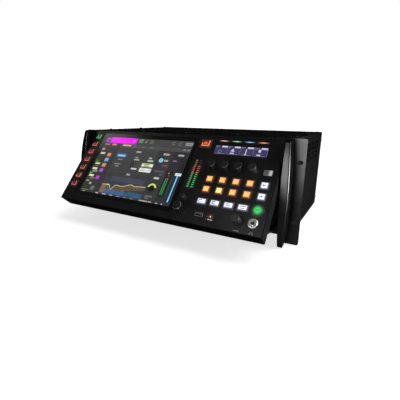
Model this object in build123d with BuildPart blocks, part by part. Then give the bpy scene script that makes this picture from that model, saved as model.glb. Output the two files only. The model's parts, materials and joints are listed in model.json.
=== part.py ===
from build123d import *
import os
from math import asin, cos, degrees, radians, sin, sqrt

# Rack-mount mixing control desk: a four-unit steel chassis with a touchscreen control panel
# hinged at its front.
# Frame: millimetres, +Z up, front faces -Y. The origin is the centre of the rack-ear bolt pattern,
# on the rear (mating) face of the ears. The panel is modelled swung open, at PANEL_TILT from
# the vertical.

os.makedirs("parts", exist_ok=True)

# --- driving dimensions -------------------------------------------------------------------------
EAR_SPAN = 482.6            # overall width over the ears of a 19-inch unit
RACK_HEIGHT = 177.0         # four rack units less the usual clearance
SLOT_PITCH_X = 465.1        # hole centres across the rack
SLOT_PITCH_Z = 101.6        # hole centres up the rack, for four units
SLOT_WIDTH = 7.0
SLOT_LENGTH = 10.0
EAR_THICK = 3.0

BODY_WIDTH = 442.8
BODY_DEPTH = 297.0
SHEET = 1.5                 # sheet steel of the sides, cover and rear
FLOOR = 2.0                 # sheet steel of the base
FOOT_HEIGHT = 3.5
FOOT_RADIUS = 9.5
FOOT_PITCH_X = 370.0
FOOT_PITCH_Y = 226.0
FOOT_MIDDLE_Y = 158.0

PANEL_WIDTH = 421.0
PANEL_HEIGHT = 172.0
PANEL_DEPTH = 29.0
PANEL_TILT = 40.0
PANEL_TOP = (-3.0, 88.0)    # y and z of the panel's top front edge when open
FASCIA = 2.0
PANEL_WALL = 2.0
PANEL_BACK = 1.5

HINGE_DOWN = 8.0            # hinge axis below the panel's top edge, along the panel
HINGE_IN = 10.0             # hinge axis behind the panel's face
HINGE_RADIUS = 3.0
RUNNING = 0.05              # radial clearance of a shaft in its bore
GAP = 0.3                   # clearance between pieces that move past each other

# --- derived places -----------------------------------------------------------------------------
HALF = RACK_HEIGHT / 2
BODY_HALF = BODY_WIDTH / 2
SIDE_INNER = BODY_HALF - SHEET
COVER_TOP = HALF
COVER_UNDER = COVER_TOP - SHEET
FLOOR_UNDER = -HALF + 3.0
FLOOR_TOP = FLOOR_UNDER + FLOOR
REAR_INNER = BODY_DEPTH - SHEET
PANEL_HALF = PANEL_WIDTH / 2

LEAN_SIN = sin(radians(PANEL_TILT))
LEAN_COS = cos(radians(PANEL_TILT))
OUTWARD = Vector(0, -LEAN_COS, LEAN_SIN)
UPWARD = Vector(0, LEAN_SIN, LEAN_COS)
PANEL_ORIGIN = Vector(0, PANEL_TOP[0], PANEL_TOP[1])
# Panel plane: x across, y up the panel from its top edge (so places are negative), z out of its face.
PANEL = Plane(origin=PANEL_ORIGIN, x_dir=(1, 0, 0), z_dir=OUTWARD)
OUT_AXIS = Axis(PANEL_ORIGIN, OUTWARD)
HINGE_POINT = PANEL_ORIGIN - UPWARD * HINGE_DOWN - OUTWARD * HINGE_IN

# --- cooling louvres of the sides: vanes pressed inwards below each opening -------------------------
LOUVRE_LENGTH = 38.0
LOUVRE_HEIGHT = 7.0
LOUVRE_PITCH_Y = 48.0
LOUVRE_PITCH_Z = 9.8
LOUVRE_COLUMNS = 4
LOUVRE_ROWS = 4
LOUVRE_MIDDLE = (158.0, 53.5)               # y and z of the field's centre
VANE_REACH = 3.0                            # how far a vane's upper edge leans into the case
VANE_RISE = 4.2
VANE_THICK = 1.3                            # measured across the case

# --- electronics inside the case ------------------------------------------------------------------
BOARD_THICK = 1.6
MAIN_BOARD = (-57.0, 151.0)                 # centre of the processor board
MAIN_BOARD_SIZE = (256.0, 222.0)
SPACER_HEIGHT = 10.0
SPACER_RADIUS = 3.0
SPACER_PITCH = (120.0, 205.0)
HEAT_SINK = (-57.0, 130.0)
HEAT_SINK_SIZE = (200.0, 92.0)
FIN_PITCH = 8.6
FIN_COUNT = 23
SOCKET_BOARD = (-86.0, 8.0)                 # x and z of the upright board's centre
SOCKET_BOARD_SIZE = (244.0, 140.0)
SOCKET_BOARD_Y = 276.0
SUPPLY = (130.0, 185.0)
SUPPLY_SIZE = (98.0, 140.0)
SUPPLY_HEIGHT = 42.0

# --- control layout: x across, drop below the panel's top edge ------------------------------------
COLUMN_X = [102.0 + 23.25 * column for column in range(5)]
SIDE_BUTTON_X = -193.0
SIDE_BUTTON_TOP = 18.0
SIDE_BUTTON_PITCH = 19.6
SCREEN = (-61.5, 83.25, 215.0, 133.0)       # centre x, drop, width, height of the lit area
GLASS = (-61.5, 83.25, 235.0, 151.5)
STRIP = (138.4, 29.9, 95.0, 19.6)           # channel display window
METER_X = 70.0
METER_TOP = 55.5
METER_PITCH = 4.0
METER_ROWS = 14
ENCODER_DROP = 66.7
BAR_DROP = 11.3
BOARD_IN = 14.0                              # control boards' front face behind the panel face
SWITCH_IN = 8.7                              # top of a switch under a button
TRAVEL_CLEAR = 1.4                           # stem's rest height above its switch
BOSS_IN = 7.5                                # top of an encoder's body
SHAFT_RADIUS = 3.0
BUSH_RADIUS = 3.9

# name, x, drop, width, height of every push button
BUTTONS = []
for index in range(7):
    key_drop = SIDE_BUTTON_TOP + SIDE_BUTTON_PITCH * index
    BUTTONS.append((f"side_button_{index + 1}", SIDE_BUTTON_X, key_drop, 12.5, 10.5))
BUTTONS.append(("home_button", 71.0, 19.0, 16.0, 13.0))
for index in range(8):
    pad_drop = 89.0 + 19.4 * (index // 4)
    BUTTONS.append((f"pad_button_{index + 1}", COLUMN_X[index % 4], pad_drop, 11.0, 10.5))
for index in range(4):
    BUTTONS.append((f"bank_button_{index + 1}", COLUMN_X[index], 131.0, 15.0, 9.5))
BUTTONS.append(("menu_button", COLUMN_X[4], 67.5, 14.0, 9.5))
BUTTONS.append(("page_up_button", COLUMN_X[4], 89.5, 11.5, 11.0))
BUTTONS.append(("page_down_button", COLUMN_X[4], 108.9, 11.5, 11.0))
ROUND_BUTTON = ("select_button", COLUMN_X[4], 131.3, 7.2)

# name, x, drop, knob radius, knob height of every rotary control
KNOBS = [(f"encoder_{index + 1}", COLUMN_X[index], ENCODER_DROP, 6.6, 15.0) for index in range(4)]
KNOBS.append(("monitor_knob", METER_X, 131.0, 4.6, 12.0))
KNOBS.append(("main_encoder", METER_X, 151.0, 7.8, 17.0))
KNOBS.append(("phones_knob", 171.0, 154.5, 6.2, 16.0))

JACK = (193.3, 153.0)
NUT_RADIUS = 7.4
USB = (105.0, 154.0, 14.6, 7.2)
SMALL_LEDS = [(118.5, 154.5), (125.5, 154.5), (118.5, 159.0)]

# --- rear layout ----------------------------------------------------------------------------------
SOCKET_X = [-191.0 + 30.0 * column for column in range(8)]
INPUT_Z = [62.0, 26.0, -10.0]
OUTPUT_Z = -46.0
BARREL_RADIUS = 11.6
CONTACT_RING = 4.75                          # radius of the circle the three contacts stand on
FAN_X = 160.0
FAN_Z = 40.0
FAN_SIZE = 60.0
FAN_DEPTH = 25.0
AXLE_RADIUS = 1.5
NETWORK_X = 82.0
NETWORK_Z = 50.0
NETWORK_BLOCK = (50.0, 15.0)
INLET_X = 176.0
POWER_Z = -48.0
INLET_BODY = (27.2, 20.0)
ROCKER_X = 128.0
ROCKER_BODY = (21.8, 28.8)
ROCKER_WIDTH = 18.0
CUT_OUT_PLAY = 0.2                           # all round between a connector's body and its cut-out

# --- stays ----------------------------------------------------------------------------------------
STAY_X = 196.5
STAY_RADIUS = 142.0
STAY_WIDTH = 8.0
STAY_THICK = 3.0
LUG_RADIUS = 4.0
BULKHEAD_FRONT = 24.0

# --- screws: (place, direction the head faces) --------------------------------------------------------
SCREW_RADIUS = 1.7
SCREW_HEAD = 3.4
SCREW_HEAD_HEIGHT = 1.6
SCREW_LENGTH = 5.0
LIP_SCREW_Y = 32.0
FLANGE_SCREW_X = 214.0
COVER_SCREWS = [(x, LIP_SCREW_Y) for x in (-110.0, 0.0, 110.0)]
COVER_SCREWS += [(x, y) for x in (-FLANGE_SCREW_X, FLANGE_SCREW_X) for y in (44.0, 156.0, 268.0)]
SIDE_SCREWS = [(14.0, -62.0), (14.0, 0.0), (14.0, 60.0), (289.0, -68.0), (289.0, 70.0)]
REAR_SCREWS = [(x, z) for x in (-213.0, -98.0, 98.0, 213.0) for z in (-79.5, 82.0)]


def save(part, name):
    """Label a finished piece and write it as its own STEP file."""
    part.label = name
    export_step(part, f"parts/{name}.step")


# --- sheet-metal chassis ----------------------------------------------------------------------------
def make_base_plate():
    """Floor with an upturned front wall that closes the electronics off behind the panel."""
    wall_top = COVER_UNDER
    depth = REAR_INNER - BULKHEAD_FRONT
    slot_z = HINGE_POINT.Z - sqrt(STAY_RADIUS ** 2 - (BULKHEAD_FRONT - HINGE_POINT.Y) ** 2)
    with BuildPart() as base_plate:
        with BuildSketch(Plane.XY.offset(FLOOR_UNDER)):
            with Locations((0, BULKHEAD_FRONT + depth / 2)):
                Rectangle(2 * SIDE_INNER - 0.2, depth)
        extrude(amount=FLOOR)
        with BuildSketch(Plane.XZ.offset(-BULKHEAD_FRONT)):
            with Locations((0, (FLOOR_UNDER + wall_top) / 2)):
                Rectangle(2 * SIDE_INNER - 13.6, wall_top - FLOOR_UNDER)
            with Locations((-STAY_X, slot_z), (STAY_X, slot_z)):
                Rectangle(STAY_THICK + 3.0, STAY_WIDTH + 5.0, mode=Mode.SUBTRACT)
        extrude(amount=-SHEET)
        # lip folded back from the wall's top, under the cover's front screws
        with BuildSketch(Plane.XY.offset(wall_top - SHEET)):
            with Locations((0, BULKHEAD_FRONT + 7.0)):
                Rectangle(2 * SIDE_INNER - 26.0, 14.0)
            with Locations(*[(x, y) for x, y in COVER_SCREWS if y < LIP_SCREW_Y + 1.0]):
                Circle(SCREW_RADIUS + 0.1, mode=Mode.SUBTRACT)
        extrude(amount=SHEET)
        # spacers under the main board, one pressed in at each corner and two in the middle
        with BuildSketch(Plane.XY.offset(FLOOR_TOP)):
            with Locations(MAIN_BOARD):
                with GridLocations(*SPACER_PITCH, 3, 2):
                    Circle(SPACER_RADIUS)
        extrude(amount=SPACER_HEIGHT)
        # cooling slots in the floor under the power supply
        with BuildSketch(Plane.XY.offset(FLOOR_UNDER)):
            with Locations(SUPPLY):
                with GridLocations(0.0, 9.0, 1, 9):
                    SlotOverall(70.0, 3.6)
        extrude(amount=FLOOR, mode=Mode.SUBTRACT)
    save(base_plate.part, "base_plate")


def make_vane():
    """One vane of a louvre, centred on its opening, for a side plate whose outer face is x = 0."""
    foot = -LOUVRE_HEIGHT / 2
    with BuildPart() as vane:
        with BuildSketch(Plane.XZ.offset(-LOUVRE_LENGTH / 2)):
            with BuildLine():
                Polyline((0, foot - 0.2), (0, foot), (-VANE_REACH, foot + VANE_RISE),
                         (-VANE_REACH - VANE_THICK, foot + VANE_RISE), (-VANE_THICK, foot),
                         (-VANE_THICK, foot - 0.2), close=True)
            make_face()
        extrude(amount=LOUVRE_LENGTH)
    return vane.part


def make_side_plate(name, side):
    """Side with a folded top flange and a field of inward-pressed cooling louvres."""
    height = COVER_UNDER - FLOOR_UNDER
    with BuildPart() as side_plate:
        with BuildSketch(Plane.YZ.offset(SIDE_INNER)):
            with Locations((BODY_DEPTH / 2, FLOOR_UNDER + height / 2)):
                Rectangle(BODY_DEPTH, height)
            with Locations(LOUVRE_MIDDLE):
                with GridLocations(LOUVRE_PITCH_Y, LOUVRE_PITCH_Z, LOUVRE_COLUMNS, LOUVRE_ROWS):
                    RectangleRounded(LOUVRE_LENGTH, LOUVRE_HEIGHT, 1.5, mode=Mode.SUBTRACT)
            with Locations(*SIDE_SCREWS):
                Circle(SCREW_RADIUS + 0.1, mode=Mode.SUBTRACT)
        extrude(amount=SHEET)
        vane = make_vane()
        for column in range(LOUVRE_COLUMNS):
            for row in range(LOUVRE_ROWS):
                y = LOUVRE_MIDDLE[0] + LOUVRE_PITCH_Y * (column - (LOUVRE_COLUMNS - 1) / 2)
                z = LOUVRE_MIDDLE[1] + LOUVRE_PITCH_Z * (row - (LOUVRE_ROWS - 1) / 2)
                add(Pos(BODY_HALF, y, z) * vane)
        with BuildSketch(Plane.XY.offset(COVER_UNDER - SHEET)):
            with Locations((SIDE_INNER - 6.0, 156.0)):
                Rectangle(12.0, 250.0)
            with Locations(*[(x, y) for x, y in COVER_SCREWS if x > FLANGE_SCREW_X - 1.0]):
                Circle(SCREW_RADIUS + 0.1, mode=Mode.SUBTRACT)
        extrude(amount=SHEET)
        if side < 0:
            mirror(about=Plane.YZ, mode=Mode.REPLACE)
    save(side_plate.part, name)


def make_top_cover():
    """Flat lid with softened edges, screwed down along the front and both sides."""
    front = 0.5
    with BuildPart() as top_cover:
        with BuildSketch(Plane.XY.offset(COVER_UNDER)):
            with Locations((0, (front + BODY_DEPTH) / 2)):
                Rectangle(BODY_WIDTH, BODY_DEPTH - front)
            with Locations(*COVER_SCREWS):
                Circle(SCREW_RADIUS + 0.1, mode=Mode.SUBTRACT)
        extrude(amount=SHEET)
        fillet(top_cover.faces().sort_by(Axis.Z)[-1].edges().filter_by(GeomType.LINE), 0.7)
    save(top_cover.part, "top_cover")


def make_rear_panel():
    """Connector panel with folded side flanges and a round air grille for the fan."""
    with BuildPart() as rear_panel:
        with BuildSketch(Plane.XZ.offset(-REAR_INNER)):
            with Locations((0, (FLOOR_UNDER + COVER_UNDER) / 2)):
                Rectangle(2 * SIDE_INNER - 0.2, COVER_UNDER - FLOOR_UNDER)
            for z in INPUT_Z + [OUTPUT_Z]:
                with Locations(*[(x, z) for x in SOCKET_X]):
                    Circle(BARREL_RADIUS + CUT_OUT_PLAY, mode=Mode.SUBTRACT)
            cut_outs = [(NETWORK_X, NETWORK_Z, NETWORK_BLOCK)]
            cut_outs.append((INLET_X, POWER_Z, INLET_BODY))
            cut_outs.append((ROCKER_X, POWER_Z, ROCKER_BODY))
            for x, z, (width, height) in cut_outs:
                with Locations((x, z)):
                    Rectangle(width + 2 * CUT_OUT_PLAY, height + 2 * CUT_OUT_PLAY, mode=Mode.SUBTRACT)
            with Locations((FAN_X, FAN_Z)):
                with GridLocations(0.0, 6.4, 1, 8):
                    SlotOverall(50.0, 3.6, mode=Mode.SUBTRACT)
            with Locations(*REAR_SCREWS):
                Circle(SCREW_RADIUS + 0.1, mode=Mode.SUBTRACT)
        extrude(amount=-SHEET)
        with BuildSketch(Plane.XY.offset(FLOOR_TOP + 1.0)):
            for side in (-1, 1):
                with Locations(((SIDE_INNER - 1.0) * side, REAR_INNER - 7.0)):
                    Rectangle(SHEET, 14.0)
        extrude(amount=COVER_UNDER - FLOOR_TOP - 4.0)
        with BuildSketch(Plane.YZ.offset(-BODY_HALF)):
            with Locations(*[spot for spot in SIDE_SCREWS if spot[0] > 100]):
                Circle(SCREW_RADIUS + 0.1)
        extrude(amount=BODY_WIDTH, mode=Mode.SUBTRACT)
    save(rear_panel.part, "rear_panel")


def make_case_screws():
    """Button-head screws of the cover, the sides and the rear, one solid each."""
    with BuildPart() as case_screws:
        cover_face = Plane.XY.offset(COVER_TOP)
        rear_face = Plane(origin=(0, BODY_DEPTH, 0), x_dir=(1, 0, 0), z_dir=(0, 1, 0))
        faces = [(cover_face, COVER_SCREWS), (rear_face, [(x, -z) for x, z in REAR_SCREWS])]
        for side in (-1, 1):
            side_face = Plane(origin=(BODY_HALF * side, 0, 0), x_dir=(0, 1, 0), z_dir=(side, 0, 0))
            faces.append((side_face, [(y, z * side) for y, z in SIDE_SCREWS]))
        for face, spots in faces:
            with BuildSketch(face):
                with Locations(*spots):
                    Circle(SCREW_HEAD)
            extrude(amount=SCREW_HEAD_HEIGHT, taper=25)
            with BuildSketch(face.offset(SCREW_HEAD_HEIGHT)):
                with Locations(*spots):
                    RegularPolygon(1.3, 6)
            extrude(amount=-1.0, mode=Mode.SUBTRACT)
            with BuildSketch(face):
                with Locations(*spots):
                    Circle(SCREW_RADIUS)
            extrude(amount=-SCREW_LENGTH)
    save(case_screws.part, "case_screws")


def make_rubber_feet():
    """Four round stick-on feet under the floor."""
    with BuildPart() as rubber_feet:
        with BuildSketch(Plane.XY.offset(FLOOR_UNDER)):
            with Locations((0, FOOT_MIDDLE_Y)):
                with GridLocations(FOOT_PITCH_X, FOOT_PITCH_Y, 2, 2):
                    Circle(FOOT_RADIUS)
        extrude(amount=-FOOT_HEIGHT, taper=8)
        fillet(rubber_feet.faces().sort_by(Axis.Z)[:4].edges(), 0.8)
    save(rubber_feet.part, "rubber_feet")


# --- rack ears ----------------------------------------------------------------------------------------
GRIP_INNER = 213.1
GRIP_BASE_MID = 223.6       # outer edge of the grip where it meets the flange, at mid height
GRIP_BASE_END = 219.4       # the same at the ends
GRIP_TIP_MID = 228.0        # outer edge of the grip's front, at mid height
GRIP_TIP_END = 222.6
GRIP_OUTER_ROUND = 3.0      # rounding of the grip's outer front edge
GRIP_INNER_ROUND = 1.2
GRIP_FRONT_MID = -43.0
GRIP_FRONT_END = -31.5
GRIP_BEVEL = 5.0             # flat cut at each end of the grip's front
LEG_DEPTH = 28.0


def grip_outline(middle, end):
    """Grip section seen from the front: straight inside, bowed outside."""
    Polyline((end, -HALF), (GRIP_INNER, -HALF), (GRIP_INNER, HALF), (end, HALF))
    ThreePointArc((end, HALF), (middle, 0), (end, -HALF))


def make_rack_ear(name, side):
    """Cast ear: slotted flange, forward-bowed protective grip and a leg inside the case side."""
    with BuildPart() as rack_ear:
        with BuildSketch(Plane.XZ.offset(EAR_THICK)):
            with BuildLine():
                grip_outline(GRIP_BASE_MID, GRIP_BASE_END)
            make_face()
        with BuildSketch(Plane.XZ.offset(-GRIP_FRONT_MID + 4.0)):
            with BuildLine():
                grip_outline(GRIP_TIP_MID, GRIP_TIP_END)
            make_face()
        loft(ruled=True)
        # bowed front with a bevel at each end
        with BuildSketch(Plane.YZ.offset(GRIP_INNER - 5.0)):
            corner = HALF - GRIP_BEVEL
            shoulder = GRIP_FRONT_END + GRIP_BEVEL
            with BuildLine():
                Polyline((GRIP_FRONT_END, -corner), (shoulder, -HALF), (0, -HALF),
                         (0, HALF), (shoulder, HALF), (GRIP_FRONT_END, corner))
                ThreePointArc((GRIP_FRONT_END, corner), (GRIP_FRONT_MID, 0), (GRIP_FRONT_END, -corner))
            make_face()
        extrude(amount=25.0, mode=Mode.INTERSECT)
        front_edges = rack_ear.edges().filter_by(
            lambda edge: edge.bounding_box().max.Y < GRIP_FRONT_END + 0.5 and edge.length > 100)
        fillet(front_edges.sort_by(Axis.X)[-1], GRIP_OUTER_ROUND)
        inner_edge = rack_ear.edges().filter_by(
            lambda edge: edge.bounding_box().max.X < GRIP_INNER + 0.1 and edge.length > 100)
        fillet(inner_edge.sort_by(Axis.Y)[0], GRIP_INNER_ROUND)
        # slotted flange
        with BuildSketch(Plane.XZ):
            with Locations(((GRIP_BASE_END - 3.0 + EAR_SPAN / 2) / 2, 0)):
                Rectangle(EAR_SPAN / 2 - GRIP_BASE_END + 3.0, RACK_HEIGHT)
        extrude(amount=EAR_THICK)
        corners = rack_ear.edges().filter_by(Axis.Y).group_by(Axis.X)[-1]
        fillet(corners, 3.0)
        with BuildSketch(Plane.XZ):
            with Locations((SLOT_PITCH_X / 2, -SLOT_PITCH_Z / 2), (SLOT_PITCH_X / 2, SLOT_PITCH_Z / 2)):
                SlotOverall(SLOT_LENGTH, SLOT_WIDTH)
        extrude(amount=EAR_THICK + 1.0, mode=Mode.SUBTRACT)
        # leg behind the flange, against the inside of the case side
        leg_top = COVER_UNDER - SHEET - 0.5
        leg_bottom = FLOOR_TOP + 0.5
        with BuildSketch(Plane.XZ.offset(EAR_THICK)):
            with Locations(((GRIP_INNER + SIDE_INNER) / 2, (leg_top + leg_bottom) / 2)):
                Rectangle(SIDE_INNER - GRIP_INNER, leg_top - leg_bottom)
        extrude(amount=-LEG_DEPTH - EAR_THICK)
        with BuildSketch(Plane.YZ.offset(GRIP_INNER)):
            with Locations(*[spot for spot in SIDE_SCREWS if spot[0] < 100]):
                Circle(SCREW_RADIUS + 0.1)
        extrude(amount=SIDE_INNER - GRIP_INNER, mode=Mode.SUBTRACT)
        with BuildSketch(Plane.YZ.offset(GRIP_INNER)):
            with Locations((HINGE_POINT.Y, HINGE_POINT.Z)):
                Circle(HINGE_RADIUS)
        extrude(amount=SIDE_INNER - GRIP_INNER - 0.3, mode=Mode.SUBTRACT)
        if side < 0:
            mirror(about=Plane.YZ, mode=Mode.REPLACE)
    save(rack_ear.part, name)


def make_hinge_pins():
    """Pivot pins pressed into the ears, running in the panel's side walls."""
    reach = PANEL_HALF - PANEL_WALL - 2.5
    with BuildPart() as hinge_pins:
        for side in (-1, 1):
            with BuildSketch(Plane.YZ.offset(reach * side)):
                with Locations((HINGE_POINT.Y, HINGE_POINT.Z)):
                    Circle(HINGE_RADIUS)
            extrude(amount=(SIDE_INNER - 0.4 - reach) * side)
    save(hinge_pins.part, "hinge_pins")


# --- electronics inside the case ------------------------------------------------------------------
def make_main_board():
    """Processor board on its spacers, and the upright board behind the audio sockets."""
    board_top = FLOOR_TOP + SPACER_HEIGHT + BOARD_THICK
    chip_height = 3.0
    plate_height = 4.0
    with BuildPart() as main_board:
        with BuildSketch(Plane.XY.offset(board_top)):
            with Locations(MAIN_BOARD):
                Rectangle(*MAIN_BOARD_SIZE)
        extrude(amount=-BOARD_THICK)
        with BuildSketch(Plane.XY.offset(board_top)):
            with Locations(HEAT_SINK):
                with GridLocations(84.0, 60.0, 3, 2):
                    RectangleRounded(24.0, 24.0, 1.0)
        extrude(amount=chip_height)
        # finned heat sink over the processors
        with BuildSketch(Plane.XY.offset(board_top + chip_height)):
            with Locations(HEAT_SINK):
                Rectangle(*HEAT_SINK_SIZE)
        extrude(amount=plate_height)
        with BuildSketch(Plane.XY.offset(board_top + chip_height + plate_height)):
            with Locations(HEAT_SINK):
                with GridLocations(FIN_PITCH, 0.0, FIN_COUNT, 1):
                    Rectangle(1.8, HEAT_SINK_SIZE[1])
        extrude(amount=18.0)
        with BuildSketch(Plane.XZ.offset(-SOCKET_BOARD_Y)):
            with Locations(SOCKET_BOARD):
                Rectangle(*SOCKET_BOARD_SIZE)
        extrude(amount=-BOARD_THICK)
    save(main_board.part, "main_board")


def make_power_supply():
    """Switch-mode supply in a vented metal can on the floor."""
    with BuildPart() as power_supply:
        with BuildSketch(Plane.XY.offset(FLOOR_TOP)):
            with Locations(SUPPLY):
                Rectangle(*SUPPLY_SIZE)
        extrude(amount=SUPPLY_HEIGHT)
        fillet(power_supply.edges().filter_by(Axis.Z), 2.0)
        with BuildSketch(Plane.XY.offset(FLOOR_TOP + SUPPLY_HEIGHT)):
            with Locations(SUPPLY):
                with GridLocations(0.0, 8.0, 1, 12):
                    SlotOverall(70.0, 3.5)
        extrude(amount=-2.0, mode=Mode.SUBTRACT)
    save(power_supply.part, "power_supply")


def make_fan_frame():
    """Square fan housing with a round duct, motor spokes and a fixed axle."""
    half = FAN_SIZE / 2
    front = Plane(origin=(FAN_X, REAR_INNER - FAN_DEPTH, FAN_Z), x_dir=(1, 0, 0), z_dir=(0, -1, 0))
    with BuildPart() as fan_frame:
        with BuildSketch(front):
            RectangleRounded(FAN_SIZE, FAN_SIZE, 4.0)
            Circle(half - 2.0, mode=Mode.SUBTRACT)
            with GridLocations(50.0, 50.0, 2, 2):
                Circle(2.2, mode=Mode.SUBTRACT)
        extrude(amount=-FAN_DEPTH)
        with BuildSketch(front):
            Circle(11.0)
            with PolarLocations(0, 4, start_angle=45):
                with Locations((half - 10.0, 0)):
                    Rectangle(24.0, 3.0)
        extrude(amount=-3.0)
        with BuildSketch(front):
            Circle(AXLE_RADIUS)
        extrude(amount=-20.0)
    save(fan_frame.part, "fan_frame")


def make_fan_rotor():
    """Hub with seven pitched blades, turning on the fan's axle."""
    hub_start = REAR_INNER - FAN_DEPTH + 3.5
    hub_depth = 18.0
    hub_plane = Plane(origin=(FAN_X, hub_start, FAN_Z), x_dir=(1, 0, 0), z_dir=(0, 1, 0))
    axial = Vector(0, 1, 0)
    pitch = radians(38.0)
    with BuildPart() as fan_rotor:
        with BuildSketch(hub_plane):
            Circle(10.5)
            Circle(AXLE_RADIUS + RUNNING, mode=Mode.SUBTRACT)
        extrude(amount=hub_depth)
        for blade in range(7):
            turn = radians(blade * 360.0 / 7)
            radial = Vector(cos(turn), 0, sin(turn))
            tangent = axial.cross(radial)
            root = hub_plane.origin + axial * hub_depth / 2 + radial * 9.0
            chord = axial * cos(pitch) + tangent * sin(pitch)
            with BuildSketch(Plane(origin=root, x_dir=chord, z_dir=radial)):
                Rectangle(18.0, 1.4)
            extrude(amount=17.0)
    save(fan_rotor.part, "fan_rotor")


# --- rear connectors ------------------------------------------------------------------------------
def rear_plane(x, z):
    """Plane on the rear panel's outer face, its z axis pointing backwards out of the case."""
    return Plane(origin=(x, BODY_DEPTH, z), x_dir=(-1, 0, 0), z_dir=(0, 1, 0))


def socket_shell():
    """Flanged round barrel that both kinds of audio socket share."""
    with BuildPart() as shell:
        with BuildSketch():
            RectangleRounded(26.0, 31.0, 2.5)
        extrude(amount=2.0)
        with BuildSketch():
            Circle(BARREL_RADIUS)
        extrude(amount=-18.0)
        with BuildSketch(Plane.XY.offset(2.0)):
            with Locations((9.5, 12.0), (-9.5, -12.0)):
                Circle(2.6)
                RegularPolygon(1.2, 6, mode=Mode.SUBTRACT)
        extrude(amount=1.0)
    return shell.part


def place_copies(shape, spots):
    """Copies of one connector at rear-panel places, as separate solids."""
    return Compound(children=[rear_plane(x, z).location * shape for x, z in spots])


def make_xlr_inputs():
    """Female three-pole sockets: a ring groove round an insert with three contact holes."""
    with BuildPart() as xlr_input:
        add(socket_shell())
        with BuildSketch(Plane.XY.offset(2.0)):
            Circle(9.7)
            Circle(7.9, mode=Mode.SUBTRACT)
            with PolarLocations(CONTACT_RING, 3, start_angle=-90):
                Circle(1.5)
        extrude(amount=-12.0, mode=Mode.SUBTRACT)
        with BuildSketch(Plane.XY.offset(2.0)):
            with Locations((0, 12.6)):
                RectangleRounded(7.0, 3.4, 1.0)
        extrude(amount=0.8)
    save(place_copies(xlr_input.part, [(x, z) for z in INPUT_Z for x in SOCKET_X]), "xlr_inputs")


def make_xlr_outputs():
    """Male three-pole sockets: an open well with three pins."""
    with BuildPart() as xlr_output:
        add(socket_shell())
        with BuildSketch(Plane.XY.offset(2.0)):
            Circle(9.4)
        extrude(amount=-14.0, mode=Mode.SUBTRACT)
        with BuildSketch(Plane.XY.offset(-12.0)):
            with PolarLocations(CONTACT_RING, 3, start_angle=90):
                Circle(1.2)
        extrude(amount=11.5)
    save(place_copies(xlr_output.part, [(x, OUTPUT_Z) for x in SOCKET_X]), "xlr_outputs")


def make_network_ports():
    """Three network sockets in one shielded block."""
    with BuildPart() as network_ports:
        with BuildSketch(rear_plane(NETWORK_X, NETWORK_Z).offset(1.0)):
            Rectangle(*NETWORK_BLOCK)
        extrude(amount=-19.0)
        with BuildSketch(rear_plane(NETWORK_X, NETWORK_Z).offset(1.0)):
            with GridLocations(16.4, 0.0, 3, 1):
                Rectangle(12.0, 8.4)
                with Locations((0, -5.2)):
                    Rectangle(6.0, 2.4)
        extrude(amount=-13.0, mode=Mode.SUBTRACT)
    save(network_ports.part, "network_ports")


def make_mains_inlet():
    """Three-pin mains inlet with chamfered upper corners, and the frame that holds the switch rocker."""
    face = rear_plane(INLET_X, POWER_Z)
    with BuildPart() as mains_inlet:
        with BuildSketch(face):
            RectangleRounded(48.0, 26.0, 5.0)
            with GridLocations(40.0, 0.0, 2, 1):
                Circle(1.6, mode=Mode.SUBTRACT)
        extrude(amount=2.5)
        with BuildSketch(face):
            Rectangle(*INLET_BODY)
        extrude(amount=-24.0)
        with BuildSketch(face.offset(2.5)) as well:
            Rectangle(24.4, 16.4)
            chamfer(well.vertices().group_by(Axis.Y)[-1], 4.0)
        extrude(amount=-17.0, mode=Mode.SUBTRACT)
        with BuildSketch(face.offset(-14.5)):
            with Locations((-7.0, -1.6), (7.0, -1.6), (0, 3.2)):
                Rectangle(2.0, 4.4)
        extrude(amount=13.0)
        # frame of the mains switch beside it
        with BuildSketch(rear_plane(ROCKER_X, POWER_Z).offset(1.2)):
            RectangleRounded(25.0, 32.0, 1.5)
        extrude(amount=-1.2)
        with BuildSketch(rear_plane(ROCKER_X, POWER_Z)):
            Rectangle(*ROCKER_BODY)
        extrude(amount=-14.0)
        with BuildSketch(rear_plane(ROCKER_X, POWER_Z).offset(1.2)):
            Rectangle(19.0, 26.4)
        extrude(amount=-14.0, mode=Mode.SUBTRACT)
    save(mains_inlet.part, "mains_inlet")


def make_power_rocker():
    """Rocker of the mains switch, pivoted in its cut-out; the lower half is pressed in when on."""
    with BuildPart() as power_rocker:
        with BuildSketch(Plane.YZ.offset(ROCKER_X - ROCKER_WIDTH / 2)):
            with BuildLine():
                Polyline((BODY_DEPTH - 9.0, POWER_Z - 8.0), (BODY_DEPTH + 0.6, POWER_Z - 11.6),
                         (BODY_DEPTH + 1.2, POWER_Z), (BODY_DEPTH + 4.0, POWER_Z + 11.2),
                         (BODY_DEPTH - 9.0, POWER_Z + 6.0), close=True)
            make_face()
        extrude(amount=ROCKER_WIDTH)
        fillet(power_rocker.edges().filter_by(Axis.X).sort_by(Axis.Y)[-2:], 0.8)
    save(power_rocker.part, "power_rocker")


# --- control panel --------------------------------------------------------------------------------
def rounded_at(x, drop, width, height, radius=1.0, grow=0.0, mode=Mode.ADD):
    """Rounded rectangle on a panel sketch, at x across and drop below the top edge."""
    with Locations((x, -drop)):
        RectangleRounded(width + 2 * grow, height + 2 * grow, radius + grow, mode=mode)


def meter_spots():
    """Centres of the level meter's segments."""
    rows = [-(METER_TOP + METER_PITCH * row) for row in range(METER_ROWS)]
    return [(METER_X + offset, y) for y in rows for offset in (-4.0, 4.0)]


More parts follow.
